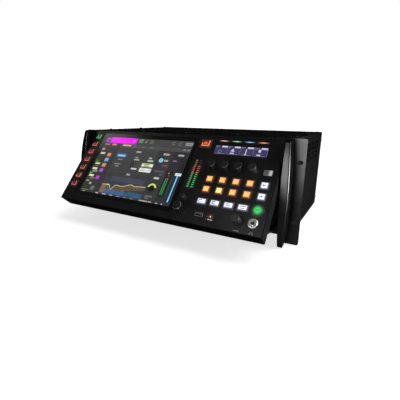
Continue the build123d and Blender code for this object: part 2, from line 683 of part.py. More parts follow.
def make_panel_housing():
    """Tray behind the fascia, with bosses for the boards and bores for the hinge pins."""
    with BuildPart() as panel_housing:
        with BuildSketch(PANEL.offset(-FASCIA)):
            with Locations((0, -PANEL_HEIGHT / 2)):
                RectangleRounded(PANEL_WIDTH, PANEL_HEIGHT, 2.0)
        extrude(amount=-(PANEL_DEPTH - FASCIA))
        fillet(panel_housing.faces().sort_by(OUT_AXIS)[0].edges(), 1.5)
        with BuildSketch(PANEL.offset(-FASCIA)):
            with Locations((0, -PANEL_HEIGHT / 2)):
                RectangleRounded(PANEL_WIDTH - 2 * PANEL_WALL, PANEL_HEIGHT - 2 * PANEL_WALL, 1.0)
        extrude(amount=-(PANEL_DEPTH - FASCIA - PANEL_BACK), mode=Mode.SUBTRACT)
        boss_start = PANEL.offset(-(PANEL_DEPTH - PANEL_BACK))
        with BuildSketch(boss_start):
            with Locations((133.0, -86.0)):
                with GridLocations(136.0, 152.0, 2, 2):
                    Circle(3.0)
            with Locations((-193.0, -86.0)):
                with GridLocations(0.0, 150.0, 1, 2):
                    Circle(3.0)
        extrude(amount=PANEL_DEPTH - PANEL_BACK - BOARD_IN - BOARD_THICK)
        with BuildSketch(boss_start):
            with Locations((-61.5, -83.25)):
                with GridLocations(190.0, 110.0, 2, 2):
                    Circle(5.0)
        extrude(amount=PANEL_DEPTH - PANEL_BACK - 9.0)
        with BuildSketch(Plane.YZ.offset(-PANEL_HALF - 1.0)):
            with Locations((HINGE_POINT.Y, HINGE_POINT.Z)):
                Circle(HINGE_RADIUS + RUNNING)
        extrude(amount=PANEL_WIDTH + 2.0, mode=Mode.SUBTRACT)
    save(panel_housing.part, "panel_housing")


def make_fascia_plate():
    """Front plate with an opening for every display, light and control."""
    with BuildPart() as fascia_plate:
        with BuildSketch(PANEL):
            with Locations((0, -PANEL_HEIGHT / 2)):
                RectangleRounded(PANEL_WIDTH, PANEL_HEIGHT, 2.0)
        extrude(amount=-FASCIA)
        chamfer(fascia_plate.faces().sort_by(OUT_AXIS)[-1].edges(), 0.5)
        with BuildSketch(PANEL):
            rounded_at(*GLASS, radius=2.0, grow=0.1)
            rounded_at(*STRIP, radius=1.0, grow=0.1)
            for name, x, drop, width, height in BUTTONS:
                rounded_at(x, drop, width, height, radius=1.2, grow=GAP)
            with Locations((ROUND_BUTTON[1], -ROUND_BUTTON[2])):
                Circle(ROUND_BUTTON[3] + GAP)
            for name, x, drop, radius, height in KNOBS:
                with Locations((x, -drop)):
                    Circle(BUSH_RADIUS + 0.1)
            for x in COLUMN_X[:4]:
                rounded_at(x + 2.0, BAR_DROP, 19.0, 2.4, radius=0.4, grow=0.1)
            with Locations(*meter_spots()):
                RectangleRounded(5.2, 2.8, 0.4)
            with Locations((JACK[0], -JACK[1])):
                Circle(4.7)
            rounded_at(*USB, radius=0.4, grow=0.1)
            with Locations(*[(x, -drop) for x, drop in SMALL_LEDS]):
                Circle(1.3)
        extrude(amount=-FASCIA, mode=Mode.SUBTRACT)
    save(fascia_plate.part, "fascia_plate")


def make_display_glass():
    """Bonded cover glass of the touchscreen, flush with the fascia."""
    with BuildPart() as display_glass:
        with BuildSketch(PANEL.offset(-FASCIA)):
            rounded_at(*GLASS, radius=2.0)
        extrude(amount=FASCIA + 0.1)
        chamfer(display_glass.faces().sort_by(OUT_AXIS)[-1].edges(), 0.25)
    save(display_glass.part, "display_glass")


def make_display_module():
    """Liquid-crystal panel and backlight behind the glass."""
    with BuildPart() as display_module:
        with BuildSketch(PANEL.offset(-FASCIA)):
            with Locations((SCREEN[0], -SCREEN[1])):
                Rectangle(SCREEN[2] + 12.0, SCREEN[3] + 12.0)
        extrude(amount=-7.0)
    save(display_module.part, "display_module")


def make_channel_display():
    """Small strip display above the encoders."""
    with BuildPart() as channel_display:
        with BuildSketch(PANEL):
            rounded_at(*STRIP)
        extrude(amount=-5.0)
        chamfer(channel_display.faces().sort_by(OUT_AXIS)[-1].edges(), 0.2)
    save(channel_display.part, "channel_display")


def make_status_leds():
    """Light pipes: four bars over the encoders, the level meter's segments and three small lights."""
    with BuildPart() as status_leds:
        with BuildSketch(PANEL):
            for x in COLUMN_X[:4]:
                rounded_at(x + 2.0, BAR_DROP, 19.0, 2.4, radius=0.4)
            with Locations(*meter_spots()):
                RectangleRounded(5.0, 2.6, 0.3)
            with Locations(*[(x, -drop) for x, drop in SMALL_LEDS]):
                Circle(1.2)
        extrude(amount=-4.0)
    save(status_leds.part, "status_leds")


def make_control_board():
    """Two boards with a switch under each button and a bushed encoder under each knob."""
    body_size = 12.0
    with BuildPart() as control_board:
        with BuildSketch(PANEL.offset(-BOARD_IN)):
            with Locations((133.0, -86.0)):
                Rectangle(146.0, 162.0)
            with Locations((-193.0, -86.0)):
                Rectangle(20.0, 160.0)
        extrude(amount=-BOARD_THICK)
        with BuildSketch(PANEL.offset(-BOARD_IN)):
            for name, x, drop, width, height in BUTTONS:
                with Locations((x, -drop)):
                    Rectangle(6.0, 6.0)
            with Locations((ROUND_BUTTON[1], -ROUND_BUTTON[2])):
                Rectangle(6.0, 6.0)
        extrude(amount=BOARD_IN - SWITCH_IN)
        with BuildSketch(PANEL.offset(-BOARD_IN)):
            with Locations(*[(x, -drop) for name, x, drop, radius, height in KNOBS]):
                Rectangle(body_size, body_size)
        extrude(amount=BOARD_IN - BOSS_IN)
        with BuildSketch(PANEL.offset(-BOSS_IN)):
            with Locations(*[(x, -drop) for name, x, drop, radius, height in KNOBS]):
                Circle(BUSH_RADIUS)
        extrude(amount=BOSS_IN + 1.5)
        with BuildSketch(PANEL.offset(1.5)):
            with Locations(*[(x, -drop) for name, x, drop, radius, height in KNOBS]):
                Circle(SHAFT_RADIUS + RUNNING)
        extrude(amount=-14.0, mode=Mode.SUBTRACT)
    save(control_board.part, "control_board")


def make_headphone_jack():
    """Quarter-inch phones socket with its round nut."""
    with BuildPart() as headphone_jack:
        with BuildSketch(PANEL.offset(-FASCIA - 0.2)):
            with Locations((JACK[0], -JACK[1])):
                Rectangle(13.0, 14.0)
        extrude(amount=-11.4)
        with BuildSketch(PANEL.offset(-FASCIA - 0.2)):
            with Locations((JACK[0], -JACK[1])):
                Circle(4.5)
        extrude(amount=FASCIA + 2.4)
        with BuildSketch(PANEL.offset(0.1)):
            with Locations((JACK[0], -JACK[1])):
                Circle(NUT_RADIUS)
        extrude(amount=2.0)
        rims = headphone_jack.edges().filter_by(GeomType.CIRCLE).group_by(SortBy.RADIUS)[-1]
        chamfer(rims.sort_by(OUT_AXIS)[-1], 0.6)
        with BuildSketch(PANEL.offset(2.3)):
            with Locations((JACK[0], -JACK[1])):
                Circle(3.2)
        extrude(amount=-14.0, mode=Mode.SUBTRACT)
    save(headphone_jack.part, "headphone_jack")


def make_usb_socket():
    """Rectangular data socket: a thin metal shell round a contact tongue."""
    x, drop, width, height = USB
    with BuildPart() as usb_socket:
        with BuildSketch(PANEL.offset(0.3)):
            rounded_at(x, drop, width, height, radius=0.4)
        extrude(amount=-14.0)
        with BuildSketch(PANEL.offset(0.3)):
            with Locations((x, -drop)):
                Rectangle(12.6, 5.2)
        extrude(amount=-12.0, mode=Mode.SUBTRACT)
        with BuildSketch(PANEL.offset(-11.7)):
            with Locations((x, -drop + 1.3)):
                Rectangle(11.2, 1.9)
        extrude(amount=11.0)
    save(usb_socket.part, "usb_socket")


def make_stay_quadrants():
    """Curved stays that guide the swinging panel; a lug at each end stops it when fully open."""
    panel_back = PANEL_DEPTH - HINGE_IN
    start = PANEL_TILT - degrees(asin(panel_back / STAY_RADIUS))
    lug_y = BULKHEAD_FRONT + SHEET + GAP + LUG_RADIUS - HINGE_POINT.Y
    end = -degrees(asin(lug_y / STAY_RADIUS))
    arc_plane = Plane(origin=(0, HINGE_POINT.Y, HINGE_POINT.Z), x_dir=(0, 0, -1), z_dir=(-1, 0, 0))
    with BuildPart() as stay_quadrants:
        for side in (-1, 1):
            with BuildSketch(arc_plane.offset(-STAY_X * side - STAY_THICK / 2)):
                with BuildLine():
                    outer = CenterArc((0, 0), STAY_RADIUS + STAY_WIDTH / 2, end, start + 1.0 - end)
                    inner = CenterArc((0, 0), STAY_RADIUS - STAY_WIDTH / 2, end, start + 1.0 - end)
                    Line(outer @ 0, inner @ 0)
                    Line(outer @ 1, inner @ 1)
                make_face()
            extrude(amount=STAY_THICK)
            lug_plane = arc_plane.offset(-STAY_X * side - 6.0)
            with BuildSketch(lug_plane):
                with Locations((STAY_RADIUS * cos(radians(end)), STAY_RADIUS * sin(radians(end)))):
                    Circle(LUG_RADIUS)
            extrude(amount=12.0)
        split(bisect_by=PANEL.offset(-PANEL_DEPTH), keep=Keep.BOTTOM)
        with BuildSketch(PANEL.offset(-PANEL_DEPTH)):
            foot_y = -HINGE_DOWN - STAY_RADIUS + 2.0
            with Locations((-STAY_X, foot_y), (STAY_X, foot_y)):
                RectangleRounded(14.0, 24.0, 2.0)
        extrude(amount=-2.0)
    save(stay_quadrants.part, "stay_quadrants")


# --- controls that move ---------------------------------------------------------------------------
FLANGE_IN = FASCIA + GAP
FLANGE_THICK = 1.2
BUTTON_PROUD = 1.5
STEM_END = SWITCH_IN - TRAVEL_CLEAR


def make_button(name, x, drop, width, height):
    """Rectangular key cap with a retaining flange behind the fascia and a stem over its switch."""
    with BuildPart() as button:
        with BuildSketch(PANEL.offset(-FLANGE_IN)):
            rounded_at(x, drop, width, height, radius=1.2)
        extrude(amount=FLANGE_IN + BUTTON_PROUD)
        fillet(button.faces().sort_by(OUT_AXIS)[-1].edges(), 0.5)
        with BuildSketch(PANEL.offset(-FLANGE_IN)):
            rounded_at(x, drop, width, height, radius=1.2, grow=0.9)
        extrude(amount=-FLANGE_THICK)
        with BuildSketch(PANEL.offset(-FLANGE_IN - FLANGE_THICK)):
            with Locations((x, -drop)):
                Circle(2.0)
        extrude(amount=-(STEM_END - FLANGE_IN - FLANGE_THICK))
    save(button.part, name)


def make_round_button(name, x, drop, radius):
    """Round key cap with the same flange and stem."""
    with BuildPart() as button:
        with BuildSketch(PANEL.offset(-FLANGE_IN)):
            with Locations((x, -drop)):
                Circle(radius)
        extrude(amount=FLANGE_IN + BUTTON_PROUD)
        fillet(button.faces().sort_by(OUT_AXIS)[-1].edges(), 0.6)
        with BuildSketch(PANEL.offset(-FLANGE_IN)):
            with Locations((x, -drop)):
                Circle(radius + 0.9)
        extrude(amount=-FLANGE_THICK)
        with BuildSketch(PANEL.offset(-FLANGE_IN - FLANGE_THICK)):
            with Locations((x, -drop)):
                Circle(2.0)
        extrude(amount=-(STEM_END - FLANGE_IN - FLANGE_THICK))
    save(button.part, name)


def make_knob(name, x, drop, radius, height):
    """Knob with a fluted grip below a plain crown, on a shaft that runs in the encoder's bush."""
    underside = 0.6
    crown = 2.5
    with BuildPart() as knob:
        with BuildSketch(PANEL.offset(underside)):
            with Locations((x, -drop)):
                Circle(radius)
                with PolarLocations(radius + 0.35, 18):
                    Circle(0.7, mode=Mode.SUBTRACT)
        extrude(amount=height - underside - crown)
        with BuildSketch(PANEL.offset(height - crown)):
            with Locations((x, -drop)):
                Circle(radius)
        extrude(amount=crown)
        chamfer(knob.faces().sort_by(OUT_AXIS)[-1].edges(), 0.7)
        with BuildSketch(PANEL.offset(underside)):
            with Locations((x, -drop)):
                Circle(BUSH_RADIUS + 0.25)
        extrude(amount=1.6, mode=Mode.SUBTRACT)
        with BuildSketch(PANEL.offset(underside + 1.8)):
            with Locations((x, -drop)):
                Circle(SHAFT_RADIUS)
        extrude(amount=-13.0)
    save(knob.part, name)


make_base_plate()
make_side_plate("side_plate_left", -1)
make_side_plate("side_plate_right", 1)
make_top_cover()
make_rear_panel()
make_case_screws()
make_rubber_feet()
make_rack_ear("rack_ear_left", -1)
make_rack_ear("rack_ear_right", 1)
make_hinge_pins()
make_main_board()
make_power_supply()
make_fan_frame()
make_fan_rotor()
make_xlr_inputs()
make_xlr_outputs()
make_network_ports()
make_mains_inlet()
make_power_rocker()
make_panel_housing()
make_fascia_plate()
make_display_glass()
make_display_module()
make_channel_display()
make_status_leds()
make_control_board()
make_headphone_jack()
make_usb_socket()
make_stay_quadrants()
for spec in BUTTONS:
    make_button(*spec)
make_round_button(*ROUND_BUTTON)
for spec in KNOBS:
    make_knob(*spec)
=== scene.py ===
"""Looks of the rack-mount mixing control desk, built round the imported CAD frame."""
import json
import math
import random
import bmesh
import bpy
from mathutils import Matrix, Vector


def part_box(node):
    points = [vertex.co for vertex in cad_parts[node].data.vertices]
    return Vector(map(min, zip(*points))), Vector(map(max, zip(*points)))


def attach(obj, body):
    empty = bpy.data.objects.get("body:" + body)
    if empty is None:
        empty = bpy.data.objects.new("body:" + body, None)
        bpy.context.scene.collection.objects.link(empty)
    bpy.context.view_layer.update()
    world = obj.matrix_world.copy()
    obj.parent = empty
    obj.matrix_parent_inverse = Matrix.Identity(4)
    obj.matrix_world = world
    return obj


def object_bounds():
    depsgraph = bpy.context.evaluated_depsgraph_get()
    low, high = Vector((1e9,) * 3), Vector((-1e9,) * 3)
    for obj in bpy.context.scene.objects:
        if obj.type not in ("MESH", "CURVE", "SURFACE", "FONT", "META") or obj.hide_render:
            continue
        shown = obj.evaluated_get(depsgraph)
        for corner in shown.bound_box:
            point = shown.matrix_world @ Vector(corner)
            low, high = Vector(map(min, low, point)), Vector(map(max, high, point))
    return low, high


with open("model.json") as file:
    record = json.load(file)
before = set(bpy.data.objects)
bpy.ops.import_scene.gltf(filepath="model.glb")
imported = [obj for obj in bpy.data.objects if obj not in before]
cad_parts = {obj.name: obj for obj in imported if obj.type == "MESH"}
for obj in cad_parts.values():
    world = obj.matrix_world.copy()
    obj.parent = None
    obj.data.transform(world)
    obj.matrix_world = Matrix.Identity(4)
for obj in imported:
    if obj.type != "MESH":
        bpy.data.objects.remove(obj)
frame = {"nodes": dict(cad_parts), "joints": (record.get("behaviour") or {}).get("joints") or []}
cad_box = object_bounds()

MM = 0.001
NODES = frame["nodes"]
JOINTS = {joint["name"]: joint for joint in frame["joints"]}

# --- the panel's own plane, from the hinge --------------------------------------------
HINGE = Vector(JOINTS["panel_hinge"]["pos_m"])
OUTWARD = Vector(JOINTS["phones_knob_turn"]["axis"]).normalized()
ACROSS = Vector((1.0, 0.0, 0.0))
UPWARD = OUTWARD.cross(ACROSS)
HINGE_DOWN = 8.0 * MM
HINGE_IN = 10.0 * MM
TOP_EDGE = HINGE + UPWARD * HINGE_DOWN + OUTWARD * HINGE_IN
# columns: x across, drop below the top edge, height out of the face; in millimetres
ON_PANEL = Matrix.Translation(TOP_EDGE) @ Matrix((
    (ACROSS.x, -UPWARD.x, OUTWARD.x, 0), (ACROSS.y, -UPWARD.y, OUTWARD.y, 0),
    (ACROSS.z, -UPWARD.z, OUTWARD.z, 0), (0, 0, 0, 1))) @ Matrix.Scale(MM, 4)


def panel_place(node):
    """Centre of a CAD node on the panel, as x across and drop, in millimetres."""
    low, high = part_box(node)
    middle = (low + high) / 2 - TOP_EDGE
    return middle.x / MM, -middle.dot(UPWARD) / MM


# --- colour and node helpers ----------------------------------------------------------
def linear(red, green, blue):
    """Linear colour of an eight-bit display colour."""
    def one(value):
        value /= 255.0
        return value / 12.92 if value <= 0.04045 else ((value + 0.055) / 1.055) ** 2.4
    return one(red), one(green), one(blue), 1.0


NOISE_ROUGHNESS = 0.55
# the mix node's colour sockets share their names with its number sockets, so they go by place
MIX_FIRST, MIX_SECOND, MIX_RESULT = 6, 7, 2


class Nodes:
    """Small wrapper that adds and links shader nodes of one material, new or already made."""

    def __init__(self, name, material=None):
        self.material = material or bpy.data.materials.new(name)
        self.material.use_nodes = True
        self.tree = self.material.node_tree
        self.shader = self.tree.nodes["Principled BSDF"]
        self.place = self.add("ShaderNodeTexCoord").outputs["Object"]

    def add(self, kind, **settings):
        node = self.tree.nodes.new(kind)
        for key, value in settings.items():
            setattr(node, key, value)
        return node

    def link(self, output, target):
        self.tree.links.new(output, target)

    def feed(self, output, name):
        """Link an output to the shader's input of that name."""
        self.link(output, self.shader.inputs[name])

    def stretched(self, scale):
        mapping = self.add("ShaderNodeMapping")
        mapping.inputs["Scale"].default_value = scale
        self.link(self.place, mapping.inputs["Vector"])
        return mapping.outputs["Vector"]

    def noise(self, scale, detail=3.0, vector=None):
        noise = self.add("ShaderNodeTexNoise")
        noise.inputs["Scale"].default_value = scale
        noise.inputs["Detail"].default_value = detail
        noise.inputs["Roughness"].default_value = NOISE_ROUGHNESS
        self.link(vector or self.place, noise.inputs["Vector"])
        return noise.outputs["Fac"]

    def ramp(self, factor, low, high, start=0.3, end=0.7):
        """Numbers low to high as the factor goes from start to end."""
        node = self.add("ShaderNodeMapRange")
        node.inputs["From Min"].default_value = start
        node.inputs["From Max"].default_value = end
        node.inputs["To Min"].default_value = low
        node.inputs["To Max"].default_value = high
        self.link(factor, node.inputs["Value"])
        return node.outputs["Result"]

    def mix(self, factor, first, second):
        node = self.add("ShaderNodeMix", data_type="RGBA")
        self.link(factor, node.inputs["Factor"])
        for value, socket in ((first, node.inputs[MIX_FIRST]), (second, node.inputs[MIX_SECOND])):
            if isinstance(value, tuple):
                socket.default_value = value
            else:
                self.link(value, socket)
        return node.outputs[MIX_RESULT]

    def vector(self, operation, first, second):
        node = self.add("ShaderNodeVectorMath", operation=operation)
        self.link(first, node.inputs[0])
        node.inputs[1].default_value = second
        return node.outputs["Vector"]

    def bump(self, height, strength, distance=0.0002):
        node = self.add("ShaderNodeBump")
        node.inputs["Strength"].default_value = strength
        node.inputs["Distance"].default_value = distance
        self.link(height, node.inputs["Height"])
        self.feed(node.outputs["Normal"], "Normal")

    def edges(self, radius, amount):
        """Mask that rises where the surface turns within the radius."""
        bevel = self.add("ShaderNodeBevel", samples=4)
        bevel.inputs["Radius"].default_value = radius
        geometry = self.add("ShaderNodeNewGeometry")
        dot = self.add("ShaderNodeVectorMath", operation="DOT_PRODUCT")
        self.link(bevel.outputs["Normal"], dot.inputs[0])
        self.link(geometry.outputs["True Normal"], dot.inputs[1])
        return self.ramp(dot.outputs["Value"], amount, 0.0, start=0.82, end=0.99)

    def set(self, **values):
        for key, value in values.items():
            self.shader.inputs[key.replace("_", " ")].default_value = value


def grey(level, warm=0.0):
    """Grey of a linear level, or a brownish one where warm is above 0."""
    return level * (1 + warm), level, level * (1 - warm), 1.0


SMUDGES = 38.0
METAL_TINT = grey(0.02)
EDGE_RADIUS = 0.0006


def coat(name, dark, light, rough, grain=2600.0, depth=0.25, specular=0.2, wear=0.15, rubbed=2.5,
         metal=0.0):
    """Fine-textured paint: grained bump, uneven sheen, faint smudges, edges rubbed a little paler.

    With metal at 1 it is a metal with a dark edge tint, which stays black at grazing angles.
    """
    nodes = Nodes(name)
    body = nodes.mix(nodes.ramp(nodes.noise(9.0), 0.0, 1.0), dark, light)
    pale = tuple(min(1.0, channel * rubbed) for channel in light[:3]) + (1.0,)
    nodes.feed(nodes.mix(nodes.edges(EDGE_RADIUS, wear), body, pale), "Base Color")
    nodes.feed(nodes.ramp(nodes.noise(SMUDGES, 4.0), rough - 0.05, rough + 0.07), "Roughness")
    nodes.set(Specular_IOR_Level=specular, Metallic=metal,
              Specular_Tint=METAL_TINT if metal else grey(1.0))
    nodes.bump(nodes.noise(grain, 2.0), depth)
    return nodes.material


MOULD_GRAIN, MOULD_DEPTH = 1500.0, 0.12


def moulded(name, dark, light, rough, specular=0.3):
    """Moulded plastic with a fine spark-eroded grain and slight shade changes."""
    nodes = Nodes(name)
    nodes.feed(nodes.mix(nodes.ramp(nodes.noise(60.0), 0.0, 1.0), dark, light), "Base Color")
    nodes.feed(nodes.ramp(nodes.noise(140.0), rough - 0.05, rough + 0.08), "Roughness")
    nodes.set(Specular_IOR_Level=specular)
    nodes.bump(nodes.noise(MOULD_GRAIN, 2.0), MOULD_DEPTH)
    return nodes.material


BRUSH_LINES = (40.0, 4000.0, 4000.0)


def brushed(name, colour, rough, depth=0.15):
    """Metal with fine lines along the width and cloudy tarnish."""
    nodes = Nodes(name)
    lines = nodes.noise(1.0, vector=nodes.stretched(BRUSH_LINES))
    darker = tuple(channel * 0.7 for channel in colour[:3]) + (1.0,)
    nodes.feed(nodes.mix(nodes.ramp(nodes.noise(25.0), 0.0, 1.0), darker, colour), "Base Color")
    nodes.feed(nodes.ramp(lines, rough - 0.08, rough + 0.12), "Roughness")
    nodes.set(Metallic=1.0)
    nodes.bump(lines, depth, 0.0001)
    return nodes.material


GLOW = "glow"


def lit(name, colour, edge=None, strength=1.0, body=grey(0.006), rough=0.3, patch=700.0,
        uneven=0.1, specular=0.2):
    """Lit surface, slightly uneven as light pipes are; from edge to colour with the glow."""
    nodes = Nodes(name)
    if edge is None:
        nodes.set(Emission_Color=colour)
    else:
        glow = nodes.add("ShaderNodeAttribute", attribute_name=GLOW)
        nodes.feed(nodes.mix(glow.outputs["Fac"], edge, colour), "Emission Color")
    level = nodes.ramp(nodes.noise(patch, 2.0), strength * (1 - uneven), strength * (1 + uneven))
    nodes.feed(level, "Emission Strength")
    nodes.set(Base_Color=body, Roughness=rough, Specular_IOR_Level=specular)
    return nodes.material


# --- flat work on the panel -----------------------------------------------------------
def rectangle(left, top, right, bottom):
    """Rectangle between its sides."""
    return [(left, top), (right, top), (right, bottom), (left, bottom)]


def about(x, drop, width, height):
    """Rectangle about a centre."""
    return rectangle(x - width / 2, drop - height / 2, x + width / 2, drop + height / 2)


def rounded(x, drop, width, height, radius, steps=5):
    """Rounded rectangle about a centre."""
    points = []
    for corner, (along, down) in enumerate(((1, 1), (-1, 1), (-1, -1), (1, -1))):
        middle_x = x + along * (width / 2 - radius)
        middle_drop = drop + down * (height / 2 - radius)
        for step in range(steps + 1):
            angle = math.radians(90 * (corner + step / steps))
            points.append((middle_x + radius * math.cos(angle),
                           middle_drop + radius * math.sin(angle)))
    return points


def disc(x, drop, radius, count=32):
    """Polygon of count corners round a centre."""
    turns = [2 * math.pi * index / count for index in range(count)]
    return [(x + radius * math.cos(turn), drop + radius * math.sin(turn)) for turn in turns]


def arc(x, drop, inner, outer, start, end, steps=20):
    """Band between two radii; angles in degrees from the right, clockwise as seen on the panel."""
    angles = [math.radians(start + (end - start) * step / steps) for step in range(steps + 1)]
    out = [(x + outer * math.cos(angle), drop + outer * math.sin(angle)) for angle in angles]
    back = [(x + inner * math.cos(angle), drop + inner * math.sin(angle)) for angle in angles[::-1]]
    return out + back


def stroke(points, width):
    """Band of even width along a line of points."""
    upper, lower = [], []
    for index, point in enumerate(points):
        before, after = points[max(index - 1, 0)], points[min(index + 1, len(points) - 1)]
        along = Vector((after[0] - before[0], after[1] - before[1])).normalized()
        upper.append((point[0] - along.y * width / 2, point[1] + along.x * width / 2))
        lower.append((point[0] + along.y * width / 2, point[1] - along.x * width / 2))
    return upper + lower[::-1]


SPILL = (0.01, 0.03)
HALO_SHARES = (0.0, 0.2, 0.45, 0.75, 1.0)
HALO_GLOWS = (1.0, 0.6, 0.28, 0.08, 0.0)
FACE_SHARES = (0.12, 0.45, 0.75, 0.92, 1.0)


class Relief:
    """Thin closed shapes standing on the panel, gathered into one mesh with several materials."""

    def __init__(self, name):
        self.name = name
        self.mesh = bmesh.new()
        self.glow = self.mesh.verts.layers.float.new(GLOW)
        self.materials = []

    def vertex(self, x, drop, height, glow=1.0):
        vertex = self.mesh.verts.new(ON_PANEL @ Vector((x, drop, height)))
        vertex[self.glow] = glow
        return vertex

    def index(self, material):
        if material not in self.materials:
            self.materials.append(material)
        return self.materials.index(material)

    def shape(self, points, low, high, material):
        """Prism of an outline between two heights."""
        index = self.index(material)
        bottom = [self.vertex(x, drop, low) for x, drop in points]
        top = [self.vertex(x, drop, high) for x, drop in points]
        faces = [self.mesh.faces.new(bottom), self.mesh.faces.new(top[::-1])]
        for here in range(len(points)):
            after = (here + 1) % len(points)
            corners = (bottom[after], bottom[here], top[here], top[after])
            faces.append(self.mesh.faces.new(corners))
        for face in faces:
            face.material_index = index

    def rings(self, outlines, low, high, material, glows, filled=False):
        """Closed thin band whose top goes through outlines of equal length, each with a glow."""
        index = self.index(material)
        tops = [[self.vertex(x, drop, high, glow) for x, drop in outline]
                for outline, glow in zip(outlines, glows)]
        first, last = outlines[0], outlines[-1]
        under = [[self.vertex(x, drop, low, glow) for x, drop in outline]
                 for outline, glow in ((last, glows[-1]), (first, glows[0]))]
        count = len(first)
        loops = tops + ([under[0]] if filled else under)
        faces = []
        pairs = list(zip(loops, loops[1:])) + ([] if filled else [(loops[-1], loops[0])])
        for inner, outer in pairs:
            for here in range(count):
                after = (here + 1) % count
                corners = (inner[here], inner[after], outer[after], outer[here])
                faces.append(self.mesh.faces.new(corners))
        if filled:
            faces.append(self.mesh.faces.new(tops[0]))
            faces.append(self.mesh.faces.new(under[0]))
            bmesh.ops.delete(self.mesh, geom=under[1], context="VERTS")
        for face in faces:
            face.material_index = index

    def halo(self, outline, spread, middle, material):
        """Light spilt on the plate round an outline, fading outwards."""
        grown = []
        for share in HALO_SHARES:
            ring = []
            for x, drop in outline:
                away = Vector((x - middle[0], drop - middle[1]))
                away = away.normalized() * spread * share
                ring.append((x + away.x, drop + away.y))
            grown.append(ring)
        self.rings(grown, *SPILL, material, HALO_GLOWS)

    def face(self, outline, middle, low, high, material, rim=0.0):
        """Filled outline that glows in full in its middle and by rim at its edge."""
        glows = [1.0 + (rim - 1.0) * share ** 2 for share in FACE_SHARES]
        loops = [[(middle[0] + (x - middle[0]) * share, middle[1] + (drop - middle[1]) * share)
                  for x, drop in outline] for share in FACE_SHARES]
        self.rings(loops, low, high, material, glows, filled=True)

    def patch(self, left, top, right, bottom, low, high, material, glow, columns=24, rows=4):
        """Rectangle whose glow is a function of x and drop."""
        index = self.index(material)
        across = [left + (right - left) * column / columns for column in range(columns + 1)]
        grid = []
        for row in range(rows + 1):
            drop = top + (bottom - top) * row / rows
            grid.append([self.vertex(x, drop, high, glow(x, drop)) for x in across])
        rim = (grid[0] + [line[-1] for line in grid[1:]] + grid[-1][-2::-1]
               + [line[0] for line in grid[-2:0:-1]])
        sink = ON_PANEL.to_3x3() @ Vector((0, 0, low - high))
        under = []
        for vertex in rim:
            lower = self.mesh.verts.new(vertex.co + sink)
            lower[self.glow] = vertex[self.glow]
            under.append(lower)
        faces = [self.mesh.faces.new((line[column], line[column + 1],
                                      after[column + 1], after[column]))
                 for line, after in zip(grid, grid[1:]) for column in range(columns)]
        for here in range(len(rim)):
            after = (here + 1) % len(rim)
            faces.append(self.mesh.faces.new((rim[after], rim[here], under[here], under[after])))
        faces.append(self.mesh.faces.new(under))
        for face in faces:
            face.material_index = index

    def finish(self, body):
        """Make the gathered mesh a piece that rides on a body."""
        bmesh.ops.recalc_face_normals(self.mesh, faces=self.mesh.faces)
        data = bpy.data.meshes.new(self.name)
        self.mesh.to_mesh(data)
        self.mesh.free()
        for material in self.materials:
            data.materials.append(material)
        piece = bpy.data.objects.new(self.name, data)
        bpy.context.scene.collection.objects.link(piece)
        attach(piece, body)


# --- finishes of the CAD nodes --------------------------------------------------------
CASE = coat("case_coat", grey(0.0032), grey(0.0048), 0.50, metal=1.0, rubbed=5.0)
EAR = coat("ear_coat", grey(0.0062), grey(0.0085), 0.30, grain=4200.0, depth=0.08, wear=0.04,
           metal=1.0)
HOUSING = coat("housing_coat", grey(0.0050), grey(0.0070), 0.42, metal=1.0)
FASCIA_SHEEN = 0.08
FASCIA = coat("fascia_coat", grey(0.0038), grey(0.0050), 0.40, grain=3600.0, depth=0.12,
              specular=FASCIA_SHEEN, wear=0.0)
SCREW = moulded("screw_black", grey(0.004), grey(0.007), 0.4, specular=0.08)
RUBBER = moulded("foot_rubber", grey(0.012), grey(0.02), 0.75)
STEEL = brushed("bright_steel", grey(0.30), 0.30)
TIN = brushed("plated_can", grey(0.50), 0.32)
BOARD = moulded("solder_mask", (0.004, 0.045, 0.018, 1), (0.006, 0.06, 0.026, 1), 0.3)
SOCKET = moulded("socket_plastic", grey(0.008), grey(0.014), 0.42)
FAN = moulded("fan_plastic", grey(0.008), grey(0.012), 0.45)
KNOB = moulded("knob_soft_touch", grey(0.0036, 0.05), grey(0.0055, 0.05), 0.48, specular=0.09)
DARK_STEEL = brushed("blackened_steel", grey(0.03), 0.34)
DARK_CHROME = brushed("dark_chrome", grey(0.05), 0.20, depth=0.03)
USB_SHELL = brushed("usb_shell", grey(0.16), 0.30)
JACK = brushed("jack_nickel", (0.95, 0.93, 0.90, 1), 0.14, depth=0.03)
KEY_DARK = moulded("key_smoke", (0.010, 0.004, 0.003, 1), (0.016, 0.006, 0.005, 1), 0.35)
LED_OFF = moulded("light_pipe", grey(0.02), grey(0.03), 0.3)


def dull_edges(material, specular):
    """Keep the coat's sheen for the flat front and leave the turned edges dull."""
    nodes = Nodes(material.name, material)
    facing = nodes.add("ShaderNodeVectorMath", operation="DOT_PRODUCT")
    nodes.link(nodes.add("ShaderNodeTexCoord").outputs["Normal"], facing.inputs[0])
    facing.inputs[1].default_value = OUTWARD
    sheen = nodes.ramp(facing.outputs["Value"], 0.0, specular, start=0.95, end=0.99)
    nodes.feed(sheen, "Specular IOR Level")


